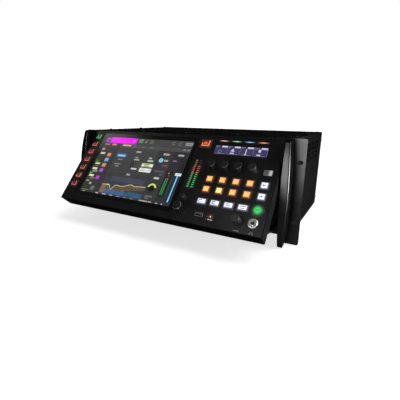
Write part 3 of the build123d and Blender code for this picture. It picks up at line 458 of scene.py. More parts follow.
def paint_bore_shade(material, node, radius):
    """Paint shade into the bore: black out the plated metal nearer the node's axis than the radius,
    in metres.
    """
    nodes = Nodes(material.name, material)
    across, drop = panel_place(node)
    centre = TOP_EDGE + ACROSS * across * MM - UPWARD * drop * MM
    away = nodes.vector("SUBTRACT", nodes.place, centre)
    radial = nodes.vector("CROSS_PRODUCT", away, OUTWARD)
    length = nodes.add("ShaderNodeVectorMath", operation="LENGTH")
    nodes.link(radial, length.inputs[0])
    mask = nodes.ramp(length.outputs["Value"], 1.0, 0.0, radius, radius * 1.06)
    colour = nodes.shader.inputs["Base Color"].links[0].from_socket
    nodes.feed(nodes.mix(mask, colour, grey(0.004)), "Base Color")
    nodes.feed(nodes.mix(mask, grey(1.0), METAL_TINT), "Specular Tint")


def glass():
    """Cover glass over black: near-black and glossy, with faint smears in its sheen."""
    nodes = Nodes("cover_glass")
    smear = nodes.noise(14.0, 5.0, vector=nodes.stretched((1.0, 3.0, 3.0)))
    nodes.feed(nodes.mix(nodes.ramp(smear, 0.0, 1.0), grey(0.004), grey(0.006)), "Base Color")
    nodes.feed(nodes.ramp(smear, 0.10, 0.2), "Roughness")
    nodes.set(Specular_IOR_Level=0.10)
    return nodes.material


GLASS = glass()
PAD_BODY = lit("pad_body", linear(132, 56, 14), strength=0.8, body=(0.12, 0.05, 0.015, 1))
WHITE_BODY = lit("white_key_body", linear(74, 76, 96), strength=0.8, body=grey(0.12))
SELECT_BODY = lit("select_body", linear(6, 84, 30), strength=0.8, body=(0.005, 0.08, 0.02, 1))
MENU_BODY = lit("menu_body", linear(48, 48, 48), strength=0.8, body=grey(0.03))

JACK_BORE = 3.0 * MM
# painted shade: the jack's bore is made black and loses the metal's sheen
paint_bore_shade(JACK, "headphone_jack", JACK_BORE)
dull_edges(FASCIA, FASCIA_SHEEN)

BY_NODE = {
    "base_plate": CASE, "side_plate_left": CASE, "side_plate_right": CASE, "top_cover": CASE,
    "rear_panel": CASE, "rack_ear_left": EAR, "rack_ear_right": EAR, "case_screws": SCREW,
    "rubber_feet": RUBBER, "hinge_pins": STEEL, "stay_quadrants": DARK_STEEL,
    "main_board": BOARD, "control_board": BOARD, "power_supply": TIN, "fan_frame": FAN,
    "fan_rotor": FAN, "xlr_inputs": SOCKET, "xlr_outputs": SOCKET, "network_ports": TIN,
    "mains_inlet": SOCKET, "power_rocker": SOCKET, "panel_housing": HOUSING,
    "fascia_plate": FASCIA, "display_glass": GLASS, "display_module": TIN,
    "channel_display": GLASS, "status_leds": LED_OFF, "headphone_jack": JACK,
    "usb_socket": USB_SHELL, "menu_button": MENU_BODY, "select_button": SELECT_BODY,
    "home_button": KEY_DARK, "main_encoder": DARK_CHROME, "page_up_button": WHITE_BODY,
    "page_down_button": WHITE_BODY,
}
BY_FAMILY = {"pad_button": PAD_BODY, "bank_button": WHITE_BODY, "side_button": KEY_DARK}

for node_name, node_object in NODES.items():
    family = node_name.rsplit("_", 1)[0]
    node_object.data.materials.clear()
    node_object.data.materials.append(BY_NODE.get(node_name) or BY_FAMILY.get(family, KNOB))

# --- the keys' lit faces and the light spilt round them -------------------------------
CAP_TOP = 1.5
ON_FACE = (CAP_TOP, CAP_TOP + 0.06)
ON_ART = (CAP_TOP + 0.03, CAP_TOP + 0.12)


def spill(name, colour):
    """Light that falls on the fascia and fades to nothing."""
    return lit(name, colour, edge=(0, 0, 0, 1), body=grey(0.005), rough=0.45, uneven=0.05)


def spilt(name, outline, spread, middle, light):
    """Piece of light on the fascia round a key."""
    fall = Relief(name)
    fall.halo(outline, spread, middle, light)
    fall.finish("panel")


def placed(x, drop, outline):
    """Outline drawn about nought, moved to a place on the panel."""
    return [(x + along, drop + down) for along, down in outline]


RED_SPILL = spill("red_spill", linear(120, 36, 14))
GREEN_SPILL = spill("green_spill", linear(14, 82, 22))
AMBER_SPILL = spill("amber_spill", linear(104, 34, 8))
WHITE_SPILL = spill("white_spill", linear(62, 60, 84))
BLUE_SPILL = spill("blue_spill", linear(20, 62, 105))
PINK_SPILL = spill("pink_spill", linear(105, 26, 46))

# side keys: a dark cap with a lit edge at its right, bottom and lower left, and a short lit sign
SIDE_WIDTH, SIDE_HEIGHT = 12.5, 10.5
LINE = 1.3
SIGNS = (
    [stroke([(-3.6, -0.2), (-1.4, -2.6), (1.4, -0.2)], 1.0), about(-1.1, 0.9, 3.4, 1.2)],
    [about(-1.2, -2.1, 5.0, 1.0), about(-1.2, 0.4, 5.0, 1.3)],
    [about(-2.9, -0.6, 1.2, 3.6), about(-0.9, -0.1, 1.2, 2.6), about(1.1, -1.1, 1.2, 4.4)],
    [about(-1.0, -2.0, 4.6, 1.0), about(-2.6, 0.3, 1.4, 1.4), about(0.6, 0.3, 1.4, 1.4)],
    [arc(-1.0, -0.5, 1.1, 2.1, 0, 360)[:-1]],
    [about(-2.4, -1.9, 1.8, 1.8), about(0.4, -1.9, 1.8, 1.8), about(-1.0, 0.6, 4.6, 1.2)],
    [stroke([(-3.6, 0.4), (-2.0, -2.0), (-0.6, 0.6), (1.2, -1.8)], 1.0)],
)


def edge_lines(x, drop, width, height, line):
    """U-shaped lit edge at the right, bottom and lower left of a key."""
    right, bottom = x + width / 2 - 0.4, drop + height / 2 - 0.4
    left, top = x - width / 2 + 0.6, drop - height / 2 + 0.6
    left_top, left_in = drop - 1.0, left + line * 0.7
    return [(right, top), (right, bottom), (left, bottom), (left, left_top), (left_in, left_top),
            (left_in, bottom - line), (right - line, bottom - line), (right - line, top)]


SIDE_TONES = (
    (linear(70, 214, 96), linear(49, 130, 68), linear(2, 22, 5), GREEN_SPILL),
    (linear(250, 120, 88), linear(167, 74, 56), linear(27, 7, 5), RED_SPILL),
    (linear(250, 104, 98), linear(164, 65, 65), linear(31, 6, 9), RED_SPILL),
    (linear(252, 124, 92), linear(167, 73, 56), linear(30, 6, 4), RED_SPILL),
    (linear(255, 132, 92), linear(173, 77, 55), linear(32, 7, 4), RED_SPILL),
    (linear(255, 140, 100), linear(173, 81, 59), linear(32, 9, 5), RED_SPILL),
    (linear(250, 128, 118), linear(167, 71, 71), linear(31, 6, 9), RED_SPILL),
)

for number, (bright, sign, wash, light_round) in enumerate(SIDE_TONES, start=1):
    node = f"side_button_{number}"
    x, drop = panel_place(node)
    art = Relief(f"side_key_face_{number}")
    outline = rounded(x, drop, SIDE_WIDTH - 0.5, SIDE_HEIGHT - 0.5, 0.6)
    wash_light = lit(f"side_wash_{number}", wash, edge=grey(0.004))
    art.face(outline, (x + 1.5, drop + 1.0), *ON_FACE, wash_light, rim=0.35)
    line_light = lit(f"side_line_{number}", bright)
    art.shape(edge_lines(x, drop, SIDE_WIDTH, SIDE_HEIGHT, LINE), *ON_ART, line_light)
    sign_light = lit(f"side_sign_{number}", sign)
    for points in SIGNS[number - 1]:
        art.shape(placed(x, drop, points), *ON_ART, sign_light)
    art.finish(node)
    spilt(f"side_key_spill_{number}",
          rounded(x, drop, SIDE_WIDTH + 0.8, SIDE_HEIGHT + 0.8, 0.8), 3.2, (x, drop), light_round)

# home key, with a house for its sign
HOUSE = ((-4.6, 2.4), (-4.6, -0.6), (-0.6, -4.6), (3.4, -0.6), (3.4, 2.4))
x, drop = panel_place("home_button")
home = Relief("home_key_face")
home.face(rounded(x, drop, 15.4, 12.4, 0.8), (x + 0.5, drop + 1), *ON_FACE,
          lit("home_wash", linear(104, 28, 12), edge=linear(24, 6, 3)), rim=0.2)
home.shape(edge_lines(x, drop, 16, 13, 2.2), *ON_ART, lit("home_line", linear(255, 150, 84)))
home.shape(placed(x, drop, HOUSE), *ON_ART, lit("home_sign", linear(214, 98, 76)))
home.finish("home_button")
spilt("home_key_spill", rounded(x, drop, 16.8, 13.8, 1.0), 4.5, (x, drop), RED_SPILL)

# pads, one of them yellower than the rest
PAD_FACE = lit("pad_face", linear(255, 208, 128), edge=linear(252, 162, 74),
               body=(0.3, 0.15, 0.05, 1), rough=0.4)
PAD_YELLOW = lit("pad_face_yellow", linear(255, 238, 160), edge=linear(252, 200, 96),
                 body=(0.3, 0.25, 0.1, 1), rough=0.4)
YELLOW_PAD = 6
for number in range(1, 9):
    node = f"pad_button_{number}"
    x, drop = panel_place(node)
    cap = Relief(f"pad_face_{number}")
    cap.face(rounded(x, drop, 9.5, 9.0, 0.8), (x + 0.8, drop + 0.6), *ON_FACE,
             PAD_YELLOW if number == YELLOW_PAD else PAD_FACE)
    cap.finish(node)
    spilt(f"pad_spill_{number}", rounded(x, drop, 11.8, 11.3, 1.0), 2.8, (x, drop), AMBER_SPILL)

# white keys, with dark signs
WHITE_FACE = lit("white_key_face", linear(240, 243, 255), edge=linear(196, 200, 226),
                 body=grey(0.4), rough=0.4)
INK = moulded("key_ink", (0.01, 0.01, 0.03, 1), (0.02, 0.02, 0.05, 1), 0.5)
BANK_SIGNS = (
    (about(-2.6, -1.9, 6.2, 1.2), about(-4.0, 1.3, 3.4, 1.2), about(0.6, 1.3, 2.6, 0.9)),
    (about(-2.2, -2.0, 6.6, 1.2), about(-3.6, 0.2, 3.0, 1.0), about(-1.4, 2.0, 6.4, 1.1)),
    (about(-1.0, -1.7, 6.4, 1.0), about(-0.4, 1.2, 7.2, 1.0)),
    (about(0.2, -1.6, 8.6, 1.1), about(-0.2, 1.5, 6.8, 1.1)),
)
for number, signs in enumerate(BANK_SIGNS, start=1):
    node = f"bank_button_{number}"
    x, drop = panel_place(node)
    cap = Relief(f"bank_face_{number}")
    cap.face(rounded(x, drop, 13.4, 7.6, 0.8), (x + 1.5, drop), *ON_FACE, WHITE_FACE)
    for points in signs:
        cap.shape(placed(x, drop, points), *ON_ART, INK)
    cap.finish(node)
    spilt(f"bank_spill_{number}", rounded(x, drop, 15.8, 10.3, 1.0), 2.6, (x, drop), WHITE_SPILL)

# page keys, with an arrow that points to the right, or to the left where way is -1
ARROW = ((-2.4, -0.5), (0.2, -0.5), (0.2, -2.0), (2.6, 0), (0.2, 2.0), (0.2, 0.5), (-2.4, 0.5))
for node, way in (("page_up_button", -1), ("page_down_button", 1)):
    x, drop = panel_place(node)
    cap = Relief(node.replace("button", "face"))
    cap.face(rounded(x, drop, 9.8, 9.4, 0.8), (x, drop), *ON_FACE, WHITE_FACE)
    arrow = [(along * way, down) for along, down in ARROW]
    cap.shape(placed(x - 0.4, drop, arrow), *ON_ART, INK)
    cap.finish(node)
    spilt(node.replace("button", "spill"),
          rounded(x, drop, 12.3, 11.8, 1.0), 2.4, (x, drop), WHITE_SPILL)

# menu key, lighter to the right, with three lines
x, drop = panel_place("menu_button")
cap = Relief("menu_face")
MENU_FACE = lit("menu_face", linear(190, 190, 192), edge=linear(66, 66, 66), body=grey(0.05),
                rough=0.4)
cap.patch(x - 6.6, drop - 4.4, x + 6.6, drop + 4.4, *ON_FACE, MENU_FACE,
          lambda at, _: max(0.0, min(1.0, (at - x - 0.5) / 2.5)) * 0.8)
for step in (-1.8, 0.0, 1.8):
    cap.shape(about(x - 2.4, drop + step, 4.4, 0.7), *ON_ART, INK)
cap.finish("menu_button")

# select key, green, with two dark bars
SELECT_INK = moulded("select_ink", (0, 0.05, 0.01, 1), (0, 0.07, 0.02, 1), 0.5)
x, drop = panel_place("select_button")
cap = Relief("select_face")
cap.face(disc(x, drop, 6.1), (x, drop), *ON_FACE,
         lit("select_face", linear(24, 214, 90), edge=linear(8, 136, 48),
             body=(0.02, 0.2, 0.06, 1), rough=0.4))
for side in (-1, 1):
    cap.shape(about(x + side * 1.6, drop, 2.2, 1.3), *ON_ART, SELECT_INK)
cap.finish("select_button")
spilt("select_spill", disc(x, drop, 7.4), 3.2, (x, drop),
      spill("select_spill", linear(6, 64, 26)))

# --- strip display, its colour bars and the level meter -------------------------------
low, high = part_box("channel_display")
STRIP_X, STRIP_DROP = panel_place("channel_display")
STRIP_WIDTH = (high.x - low.x) / MM
STRIP_HEIGHT = 19.6
STRIP_BACK = lit("strip_back", linear(66, 60, 98), edge=linear(44, 42, 60), rough=0.2)
STRIP_WHITE = lit("strip_white", linear(208, 202, 238), rough=0.2)
STRIP_DIM = lit("strip_dim", linear(138, 130, 172), rough=0.2)
STRIP_SIGN = (0.05, 0.12)
STRIP_LINE = (0.05, 0.11)
strip = Relief("strip_picture")
left, right = STRIP_X - STRIP_WIDTH / 2, STRIP_X + STRIP_WIDTH / 2
top, bottom = STRIP_DROP - STRIP_HEIGHT / 2, STRIP_DROP + STRIP_HEIGHT / 2
strip.patch(left + 0.6, top + 0.6, right - 0.6, bottom - 0.6, 0.02, 0.06, STRIP_BACK,
            lambda _, at: 1 - abs(at - STRIP_DROP - 1) / 10, 8, 8)
CELL = (right - left - 2.0) / 4
for cell in range(4):
    start = left + 1.0 + CELL * cell
    end = start + CELL
    strip.shape(rectangle(end - 11.4, top + 1.4, end - 1.2, top + 4.6), *STRIP_SIGN, STRIP_WHITE)
    for outline in (rectangle(start + 0.8, top + 2.0, start + 8.0, top + 2.9),
                    rectangle(start + 0.8, top + 4.0, start + 5.5, top + 4.8),
                    rectangle(end - 0.45, top + 1.4, end - 0.05, bottom - 1.4),
                    rectangle(start + 3.0, bottom - 2.4, end - 3.0, bottom - 1.7)):
        strip.shape(outline, *STRIP_LINE, STRIP_DIM)
# one sign in each cell: a ring, a peak, a tall bar and a block, the last three over a short bar
ring_x, peak_x, bar_x, block_x = (left + 1.0 + 10.0 + CELL * cell for cell in range(4))
strip.shape(arc(ring_x, STRIP_DROP + 3.6, 2.6, 3.4, 0, 350), *STRIP_LINE, STRIP_DIM)
PEAK = ((-3.6, 2.2), (0, -4.0), (3.6, 2.2))
for outline in (placed(peak_x, STRIP_DROP, PEAK),
                about(peak_x, STRIP_DROP + 5.6, 7.2, 1.9),
                about(bar_x + 0.4, STRIP_DROP, 1.4, 9.0),
                about(bar_x + 0.4, STRIP_DROP + 6.0, 3.6, 1.9),
                about(block_x, STRIP_DROP - 2.2, 4.0, 5.6),
                about(block_x - 0.6, STRIP_DROP + 5.8, 6.4, 2.2)):
    strip.shape(outline, *STRIP_SIGN, STRIP_WHITE)
strip.finish("panel")

# a colour bar for each column of pads, above the strip display
BAR_COLUMNS = [panel_place(f"pad_button_{number}")[0] + 2.0 for number in (1, 2, 3, 4)]
BAR_DROP = 11.3
BAR_HALF = 9.8
BAR_THICK = 1.15
BAR_POINTS = 48
BAR_TONES = (
    (linear(255, 206, 208), linear(120, 16, 34), PINK_SPILL),
    (linear(196, 246, 204), linear(8, 84, 30), GREEN_SPILL),
    (linear(170, 222, 255), linear(12, 62, 120), BLUE_SPILL),
    (linear(255, 196, 136), linear(140, 46, 6), RED_SPILL),
)
ON_PLATE = (0.0, 0.05)
lights = Relief("status_lights")
glows = Relief("status_spill")


def bar_lens(middle):
    """Long thin lens, pointed at both ends."""
    points = []
    for step in range(BAR_POINTS):
        turn = 2 * math.pi * step / BAR_POINTS
        thick = math.copysign(abs(math.sin(turn)) ** 2.2, math.sin(turn))
        points.append((middle + BAR_HALF * math.cos(turn), BAR_DROP + BAR_THICK * thick))
    return points


for column, (core, rim, light_round) in zip(BAR_COLUMNS, BAR_TONES):
    place = (column, BAR_DROP)
    bar_light = lit(f"bar_{round(column)}", core, edge=rim, rough=0.25)
    lights.face(bar_lens(column), place, *ON_PLATE, bar_light)
    glows.halo(rounded(*place, 15.0, 2.4, 1.0), 3.6, place, light_round)

# level meter: single segments at the top, pairs below
METER_X = 70.0
METER_HALF = 4.0
SEGMENT_HALF = 1.7
SEGMENT_RISE = 1.2
METER_FIRST = 55.5
METER_STEP = 4.0
PEACH = lit("meter_peach", linear(196, 138, 112), edge=linear(70, 30, 20))
RED = lit("meter_red", linear(214, 118, 106), edge=linear(104, 12, 12))
AMBER = lit("meter_amber", linear(212, 172, 120), edge=linear(110, 60, 20))
GREEN = lit("meter_green", linear(96, 224, 124), edge=linear(8, 92, 36))
METER_TONES = (PEACH, PEACH, PEACH, RED, RED, RED, AMBER) + (GREEN,) * 7
SINGLE_ROWS = 3
for row, segment in enumerate(METER_TONES):
    at_drop = METER_FIRST + METER_STEP * row
    for side in (-1,) if row < SINGLE_ROWS else (-1, 1):
        at_x = METER_X + side * METER_HALF
        lights.patch(at_x - SEGMENT_HALF, at_drop - SEGMENT_RISE,
                     at_x + SEGMENT_HALF, at_drop + SEGMENT_RISE, *ON_PLATE, segment,
                     lambda _, down: max(0.0, 1 - abs(down - at_drop) / 1.1), 4, 8)
RED_ROWS = (METER_X, METER_FIRST + 4.6 * METER_STEP)
GREEN_ROWS = (METER_X, METER_FIRST + 10.0 * METER_STEP)
glows.halo(rounded(*RED_ROWS, 13.6, 13.0, 1.0), 2.6, RED_ROWS, RED_SPILL)
glows.halo(rounded(*GREEN_ROWS, 13.6, 25.0, 1.0), 2.6, GREEN_ROWS, GREEN_SPILL)

# three small lights beside the socket at the bottom, one of them bright
BUSY_LED = lit("led_busy", linear(255, 244, 224), edge=linear(240, 150, 70))
IDLE_LED = lit("led_idle", linear(120, 62, 34), edge=linear(60, 26, 12))
SMALL_LEDS = (((118.5, 154.5), False), ((125.5, 154.5), True), ((118.5, 159.0), False))
for place, busy in SMALL_LEDS:
    lights.face(disc(*place, 1.15, 20), place, 0.0, 0.1, BUSY_LED if busy else IDLE_LED)
    if busy:
        glows.halo(disc(*place, 1.4, 20), 3.6, place, AMBER_SPILL)

# small printed marks, with a headphone sign under the jack; the print is real, its brightness is a
# painted glow
PRINT = (0.0, 0.04)
PRINT_GLOW = lit("print_glow", linear(150, 138, 126), body=grey(0.3), rough=0.5)
PRINT_GLOW_DIM = lit("print_glow_dim", linear(64, 62, 60), body=grey(0.1), rough=0.5)
for at_x, width in ((123.4, 3.0), (128.0, 4.4)):
    lights.shape(about(at_x, 159.6, width, 1.3), *PRINT, PRINT_GLOW)
PHONES_X = 194.5
for outline in (about(171.2, 168.6, 9.0, 1.2), arc(PHONES_X, 169.4, 1.8, 2.6, 180, 360, 12),
                about(PHONES_X - 2.3, 169.6, 1.3, 1.8), about(PHONES_X + 2.3, 169.6, 1.3, 1.8)):
    lights.shape(outline, *PRINT, PRINT_GLOW_DIM)
lights.finish("panel")
glows.finish("panel")

# --- the main screen's picture --------------------------------------------------------
LAYERS = (0.12, 0.17, 0.22, 0.27, 0.32)
LAYER_DEPTH = 0.06
screen = Relief("screen_picture")
TONES = {}


def tone(red, green, blue):
    """Screen colour, made once."""
    key = (red, green, blue)
    if key not in TONES:
        TONES[key] = lit("screen_{:02x}{:02x}{:02x}".format(*key), linear(*key),
                         body=grey(0.003), rough=0.16, specular=0.06, patch=60.0, uneven=0.05)
    return TONES[key]


def paint(layer, colour, *outlines):
    """Outlines in one colour on one of the screen's layers."""
    for points in outlines:
        screen.shape(points, LAYERS[layer] - LAYER_DEPTH, LAYERS[layer], tone(*colour))


SCREEN = (-169.0, 16.75, 46.0, 149.75)
paint(0, (62, 62, 63), rectangle(*SCREEN))
# bands: header, tabs, list column, main area, right column
paint(1, (70, 70, 71), rectangle(-168.4, 17.2, 45.4, 31.4))
paint(1, (58, 57, 56), rectangle(-168.4, 32.2, -121.5, 149.2))
paint(1, (66, 66, 67), rectangle(-120.6, 32.2, -22.2, 99.5))
paint(1, (58, 58, 60), rectangle(-21.4, 32.2, 11.8, 149.2))
paint(1, (50, 50, 53), rectangle(12.6, 32.2, 45.4, 149.2))
paint(2, (76, 76, 77), rectangle(-120.6, 32.8, -22.2, 41.2), rectangle(-21.4, 32.8, 45.4, 41.2))
# magenta title, with the violet cell at its left
paint(2, (120, 62, 134), rectangle(-168.0, 17.4, -154.6, 31.2))
paint(2, (240, 8, 240), rectangle(-154.2, 17.0, -84.6, 31.3))
paint(3, (190, 130, 200), about(-161.5, 21.4, 9.0, 1.4), about(-163.0, 27.0, 6.0, 1.2))
paint(3, (250, 60, 250), about(-140.0, 21.0, 22.0, 1.5), about(-118.0, 27.6, 30.0, 1.1),
      about(-92.0, 24.0, 8.0, 7.0))
# small signs in the header
paint(2, (96, 136, 102), rounded(-74.5, 22.4, 11.6, 9.4, 1.0))
paint(2, (118, 124, 104), about(-61.5, 23.6, 4.6, 6.4), about(-47.6, 23.4, 9.4, 1.4),
      about(-47.6, 26.4, 6.4, 1.2), about(-47.6, 20.4, 7.6, 1.2))
for at_x in (4.6, 19.2):
    paint(2, (126, 126, 128), arc(at_x, 23.6, 2.6, 3.6, 20, 320))
paint(2, (140, 144, 146), rounded(37.6, 23.4, 15.4, 7.0, 1.0))
paint(3, (96, 98, 100), about(37.6, 23.4, 11.4, 1.2))
for at_x in (33.0, 41.5):
    paint(3, (128, 128, 130), about(at_x, 36.4, 5.8, 3.0))
for at_x in (-104.0, -84.0, -62.0, -41.0):
    paint(3, (112, 112, 116), about(at_x, 37.0, 8.6, 1.6))
# orange captions under the title
paint(2, (214, 128, 98), about(-139.2, 35.2, 12.0, 4.2))
paint(3, (222, 182, 132), about(-105.0, 35.2, 22.0, 3.4))
paint(2, (150, 128, 104), about(-158.5, 35.6, 13.0, 3.2))
# list at the left: labels and square tiles
ROW_LINES = (43.0, 54.6, 66.4, 79.0, 91.6, 104.6, 117.4, 130.6, 143.6)
for at_drop in ROW_LINES:
    paint(2, (42, 42, 42), rectangle(-168.4, at_drop, -121.5, at_drop + 0.5))
LABELS = (
    ((150, 160, 150), -162.6, 48.0, 6.6, 5.4), ((208, 202, 172), -158.8, 58.4, 12.4, 4.6),
    ((66, 132, 44), -163.6, 77.6, 8.4, 4.0), ((202, 206, 160), -158.4, 83.8, 12.4, 4.2),
    ((146, 90, 52), -157.6, 89.4, 8.6, 2.6), ((226, 226, 164), -159.0, 96.2, 12.4, 4.6),
    ((118, 160, 136), -155.6, 102.2, 12.4, 4.6), ((246, 228, 164), -158.8, 112.8, 12.4, 4.6),
    ((120, 128, 100), -153.6, 118.8, 12.0, 2.6), ((144, 156, 134), -161.2, 125.2, 6.6, 3.8),
    ((166, 184, 146), -151.2, 130.4, 5.6, 4.6), ((118, 116, 112), -156.0, 145.4, 17.0, 1.6),
    ((160, 156, 144), -158.0, 149.0, 8.0, 1.3), ((122, 168, 156), -163.6, 106.6, 8.0, 2.0),
)
for colour, at_x, at_drop, width, height in LABELS:
    paint(3, colour, about(at_x, at_drop, width, height))
TILES = (
    ((222, 156, 124), (130, 66, 38), 60.8), ((150, 190, 228), (58, 92, 130), 73.0),
    ((216, 158, 116), (136, 84, 30), 86.0), ((180, 96, 218), (86, 30, 124), 98.6),
    ((182, 80, 222), (84, 22, 122), 116.0), ((112, 112, 116), (76, 76, 80), 139.8),
)
for colour, shade, at_drop in TILES:
    paint(2, shade, rounded(-139.2, at_drop + 0.5, 11.4, 9.8, 1.2))
    paint(3, colour, rounded(-140.0, at_drop, 8.8, 7.6, 1.0))
    paint(4, shade, arc(-140.0, at_drop, 1.6, 2.5, 200, 340, 10),
          about(-140.0, at_drop + 2.2, 5.0, 0.7))
# blue button and its captions
paint(2, (46, 98, 146), rounded(-107.0, 59.4, 27.0, 9.6, 3.0))
paint(3, (152, 196, 238), rounded(-106.0, 60.2, 20.0, 4.4, 1.4))
paint(2, (132, 128, 128), about(-105.0, 69.4, 13.0, 2.2), about(-107.0, 80.0, 16.0, 2.4),
      about(-106.0, 85.0, 9.0, 2.4))
# centre: signal path, with two light tables
paint(2, (166, 166, 162), about(-67.6, 48.6, 12.4, 3.4), about(-66.4, 61.8, 6.4, 2.4),
      about(-64.4, 66.6, 12.6, 3.0))
paint(2, (182, 180, 180), about(-33.6, 60.6, 7.0, 3.0), about(-31.4, 66.6, 13.0, 3.8))
paint(2, (50, 52, 50), disc(-70.6, 76.0, 8.0))
paint(3, (84, 92, 84), arc(-70.6, 76.0, 5.4, 6.6, 140, 400))
paint(2, (88, 88, 88), stroke([(-62.0, 73.0), (-55.0, 73.0), (-50.0, 77.0)], 0.8),
      stroke([(-62.0, 79.0), (-54.0, 79.0), (-50.0, 85.0)], 0.8))
paint(2, (178, 192, 146), rounded(-34.0, 76.4, 27.0, 7.8, 0.8))
paint(3, (238, 238, 226), disc(-44.0, 77.0, 2.0), about(-25.0, 76.4, 7.6, 5.0))
paint(3, (112, 132, 84), about(-35.6, 74.2, 10.0, 1.1), about(-35.6, 78.4, 8.0, 1.1))
paint(2, (232, 232, 232), rounded(-34.3, 87.3, 27.0, 8.6, 0.8))
paint(3, (150, 152, 156), about(-41.0, 85.6, 9.4, 1.1), about(-39.6, 88.8, 12.0, 1.1),
      about(-26.0, 87.4, 7.0, 1.1))
paint(2, (206, 206, 202), about(-61.6, 87.0, 13.6, 3.2))
paint(2, (160, 160, 160), about(-68.0, 101.0, 8.2, 4.0))
paint(2, (46, 46, 47), rectangle(-120.6, 94.0, -22.2, 94.6))
# right column: captions, round sign, rotary arc
paint(2, (172, 166, 160), about(-1.6, 49.0, 13.6, 4.0), about(3.2, 62.8, 8.2, 4.0))
paint(2, (20, 54, 70), rounded(-10.0, 61.0, 13.0, 14.0, 3.0))
paint(3, (152, 218, 230), disc(-8.2, 62.8, 4.7))
paint(4, (60, 120, 140), arc(-8.2, 62.8, 1.4, 2.2, 30, 330, 12))
paint(2, (94, 62, 72), about(4.6, 73.4, 13.6, 6.0))
paint(3, (128, 92, 100), about(4.6, 73.4, 10.0, 1.2))
paint(2, (88, 84, 94), about(-2.0, 86.4, 20.0, 3.6), about(4.0, 92.6, 6.0, 4.0))
paint(2, (192, 192, 186), about(-1.8, 100.8, 11.2, 4.2))
paint(2, (24, 25, 18), disc(-3.2, 121.6, 9.6))
paint(3, (214, 224, 92), arc(-3.2, 121.6, 6.0, 9.4, 190, 350))
paint(3, (50, 52, 56), arc(-3.2, 121.6, 6.6, 8.8, 10, 170))
paint(2, (104, 104, 106), about(-2.2, 138.2, 16.4, 3.0), about(-5.0, 142.2, 8.0, 2.2))
# level meter and fader at the right
paint(2, (176, 176, 176), about(30.4, 48.8, 12.0, 3.4))
paint(2, (150, 112, 164), about(21.4, 61.6, 8.0, 2.2))
paint(2, (38, 36, 40), rectangle(34.2, 56.0, 45.4, 84.6))
for step in range(5):
    paint(3, (74, 72, 78), about(38.0, 60.0 + 5.0 * step, 4.0, 0.8))
paint(2, (34, 40, 36), rectangle(14.6, 84.0, 28.4, 136.0))
paint(3, (214, 112, 84), about(20.2, 88.0, 3.4, 2.6))
paint(3, (136, 42, 30), about(22.4, 93.0, 4.4, 3.2))
for step in range(17):
    at_drop = 98.6 + 2.0 * step
    level_tone = (58, 178, 84) if step > 5 else (84, 158, 112)
    paint(3, level_tone, about(18.8, at_drop, 2.0, 1.3), about(22.4, at_drop, 2.0, 1.3))
    paint(3, (90, 92, 92), about(30.6, at_drop, 2.2, 0.5))
paint(2, (14, 54, 84), rectangle(34.2, 90.6, 44.6, 145.0))
paint(3, (150, 204, 224), about(39.8, 117.2, 2.4, 52.0))
paint(3, (226, 240, 246), rounded(39.8, 88.4, 12.4, 5.4, 0.8))
paint(4, (120, 130, 136), about(39.8, 88.4, 9.6, 0.7))
# graph: dim grid, golden curve with its wash, blue spectrum
GRAPH = (-119.4, 104.6, -15.4, 146.6)
paint(2, (60, 62, 70), rectangle(*GRAPH))
paint(3, (70, 73, 86), rectangle(-104.0, 108.0, -24.0, 119.0))
CURVE = [(-118.8, 128.4), (-112.0, 127.6), (-106.0, 127.6), (-102.0, 127.8), (-99.0, 129.4),
         (-96.6, 133.6), (-92.8, 137.4), (-89.6, 131.2), (-86.0, 127.0), (-80.0, 126.4),
         (-73.0, 127.8), (-66.0, 126.8), (-60.0, 124.4), (-55.0, 122.8), (-51.0, 121.4),
         (-47.0, 121.8), (-42.0, 124.0), (-36.0, 123.4), (-28.0, 122.6), (-20.0, 122.2),
         (-16.0, 122.2)]
paint(3, (94, 84, 66), CURVE + [(-16.0, 128.6), (-118.8, 146.0)])
paint(3, (136, 112, 92),
      [(-118.8, 128.4), (-112.0, 127.6), (-107.6, 127.6), (-108.0, 146.0), (-118.8, 146.0)])
paint(4, (206, 184, 134), stroke(CURVE, 1.5))
paint(4, (244, 226, 180), about(-104.4, 127.6, 5.4, 2.2))
BAR_BLUE, BAR_TEAL = (66, 112, 170), (48, 102, 134)
BAR_FOOT, BAR_WIDTH, BAR_STEP = 146.2, 2.3, 3.5
random.seed(7)
column_x = -107.0
while column_x < -16.0:
    height = 9.0 + 3.4 * random.random() - 2.0 * abs(math.sin(column_x / 7.0))
    paint(4, BAR_BLUE if column_x < -60 else BAR_TEAL,
          rectangle(column_x, BAR_FOOT - height, column_x + BAR_WIDTH, BAR_FOOT))
    column_x += BAR_STEP
# labels along the bottom edge
BOTTOM = (
    ((202, 196, 182), -122.0, 6.4), ((174, 184, 194), -103.4, 9.4), ((150, 160, 172), -86.0, 8.6),
    ((128, 134, 130), -68.0, 8.0), ((112, 112, 112), -52.0, 7.4), ((112, 112, 112), -36.0, 7.4),
    ((178, 176, 160), -13.6, 9.0), ((182, 178, 158), -6.0, 12.0), ((170, 170, 166), 5.0, 7.0),
    ((168, 168, 168), 19.4, 4.6), ((200, 200, 200), 30.6, 2.4),
)
for colour, at_x, width in BOTTOM:
    paint(4, colour, about(at_x, 148.4, width, 1.9))
screen.finish("panel")

# --- stage, light and camera ----------------------------------------------------------
FLOOR_Z = cad_box[0].z
REACH = 8.0
floor_mesh = bpy.data.meshes.new("floor")
corners = [(x, y, FLOOR_Z) for x, y in rectangle(-REACH, -REACH, REACH, REACH)]
floor_mesh.from_pydata(corners, [], [(0, 1, 2, 3)])
floor = bpy.data.objects.new("floor", floor_mesh)
bpy.context.scene.collection.objects.link(floor)
paper = Nodes("studio_paper")
paper.feed(paper.mix(paper.noise(3.0), grey(0.50), grey(0.54)), "Base Color")
paper.set(Roughness=0.95, Specular_IOR_Level=0.05, Emission_Color=grey(1.0), Emission_Strength=0.72)
floor_mesh.materials.append(paper.material)


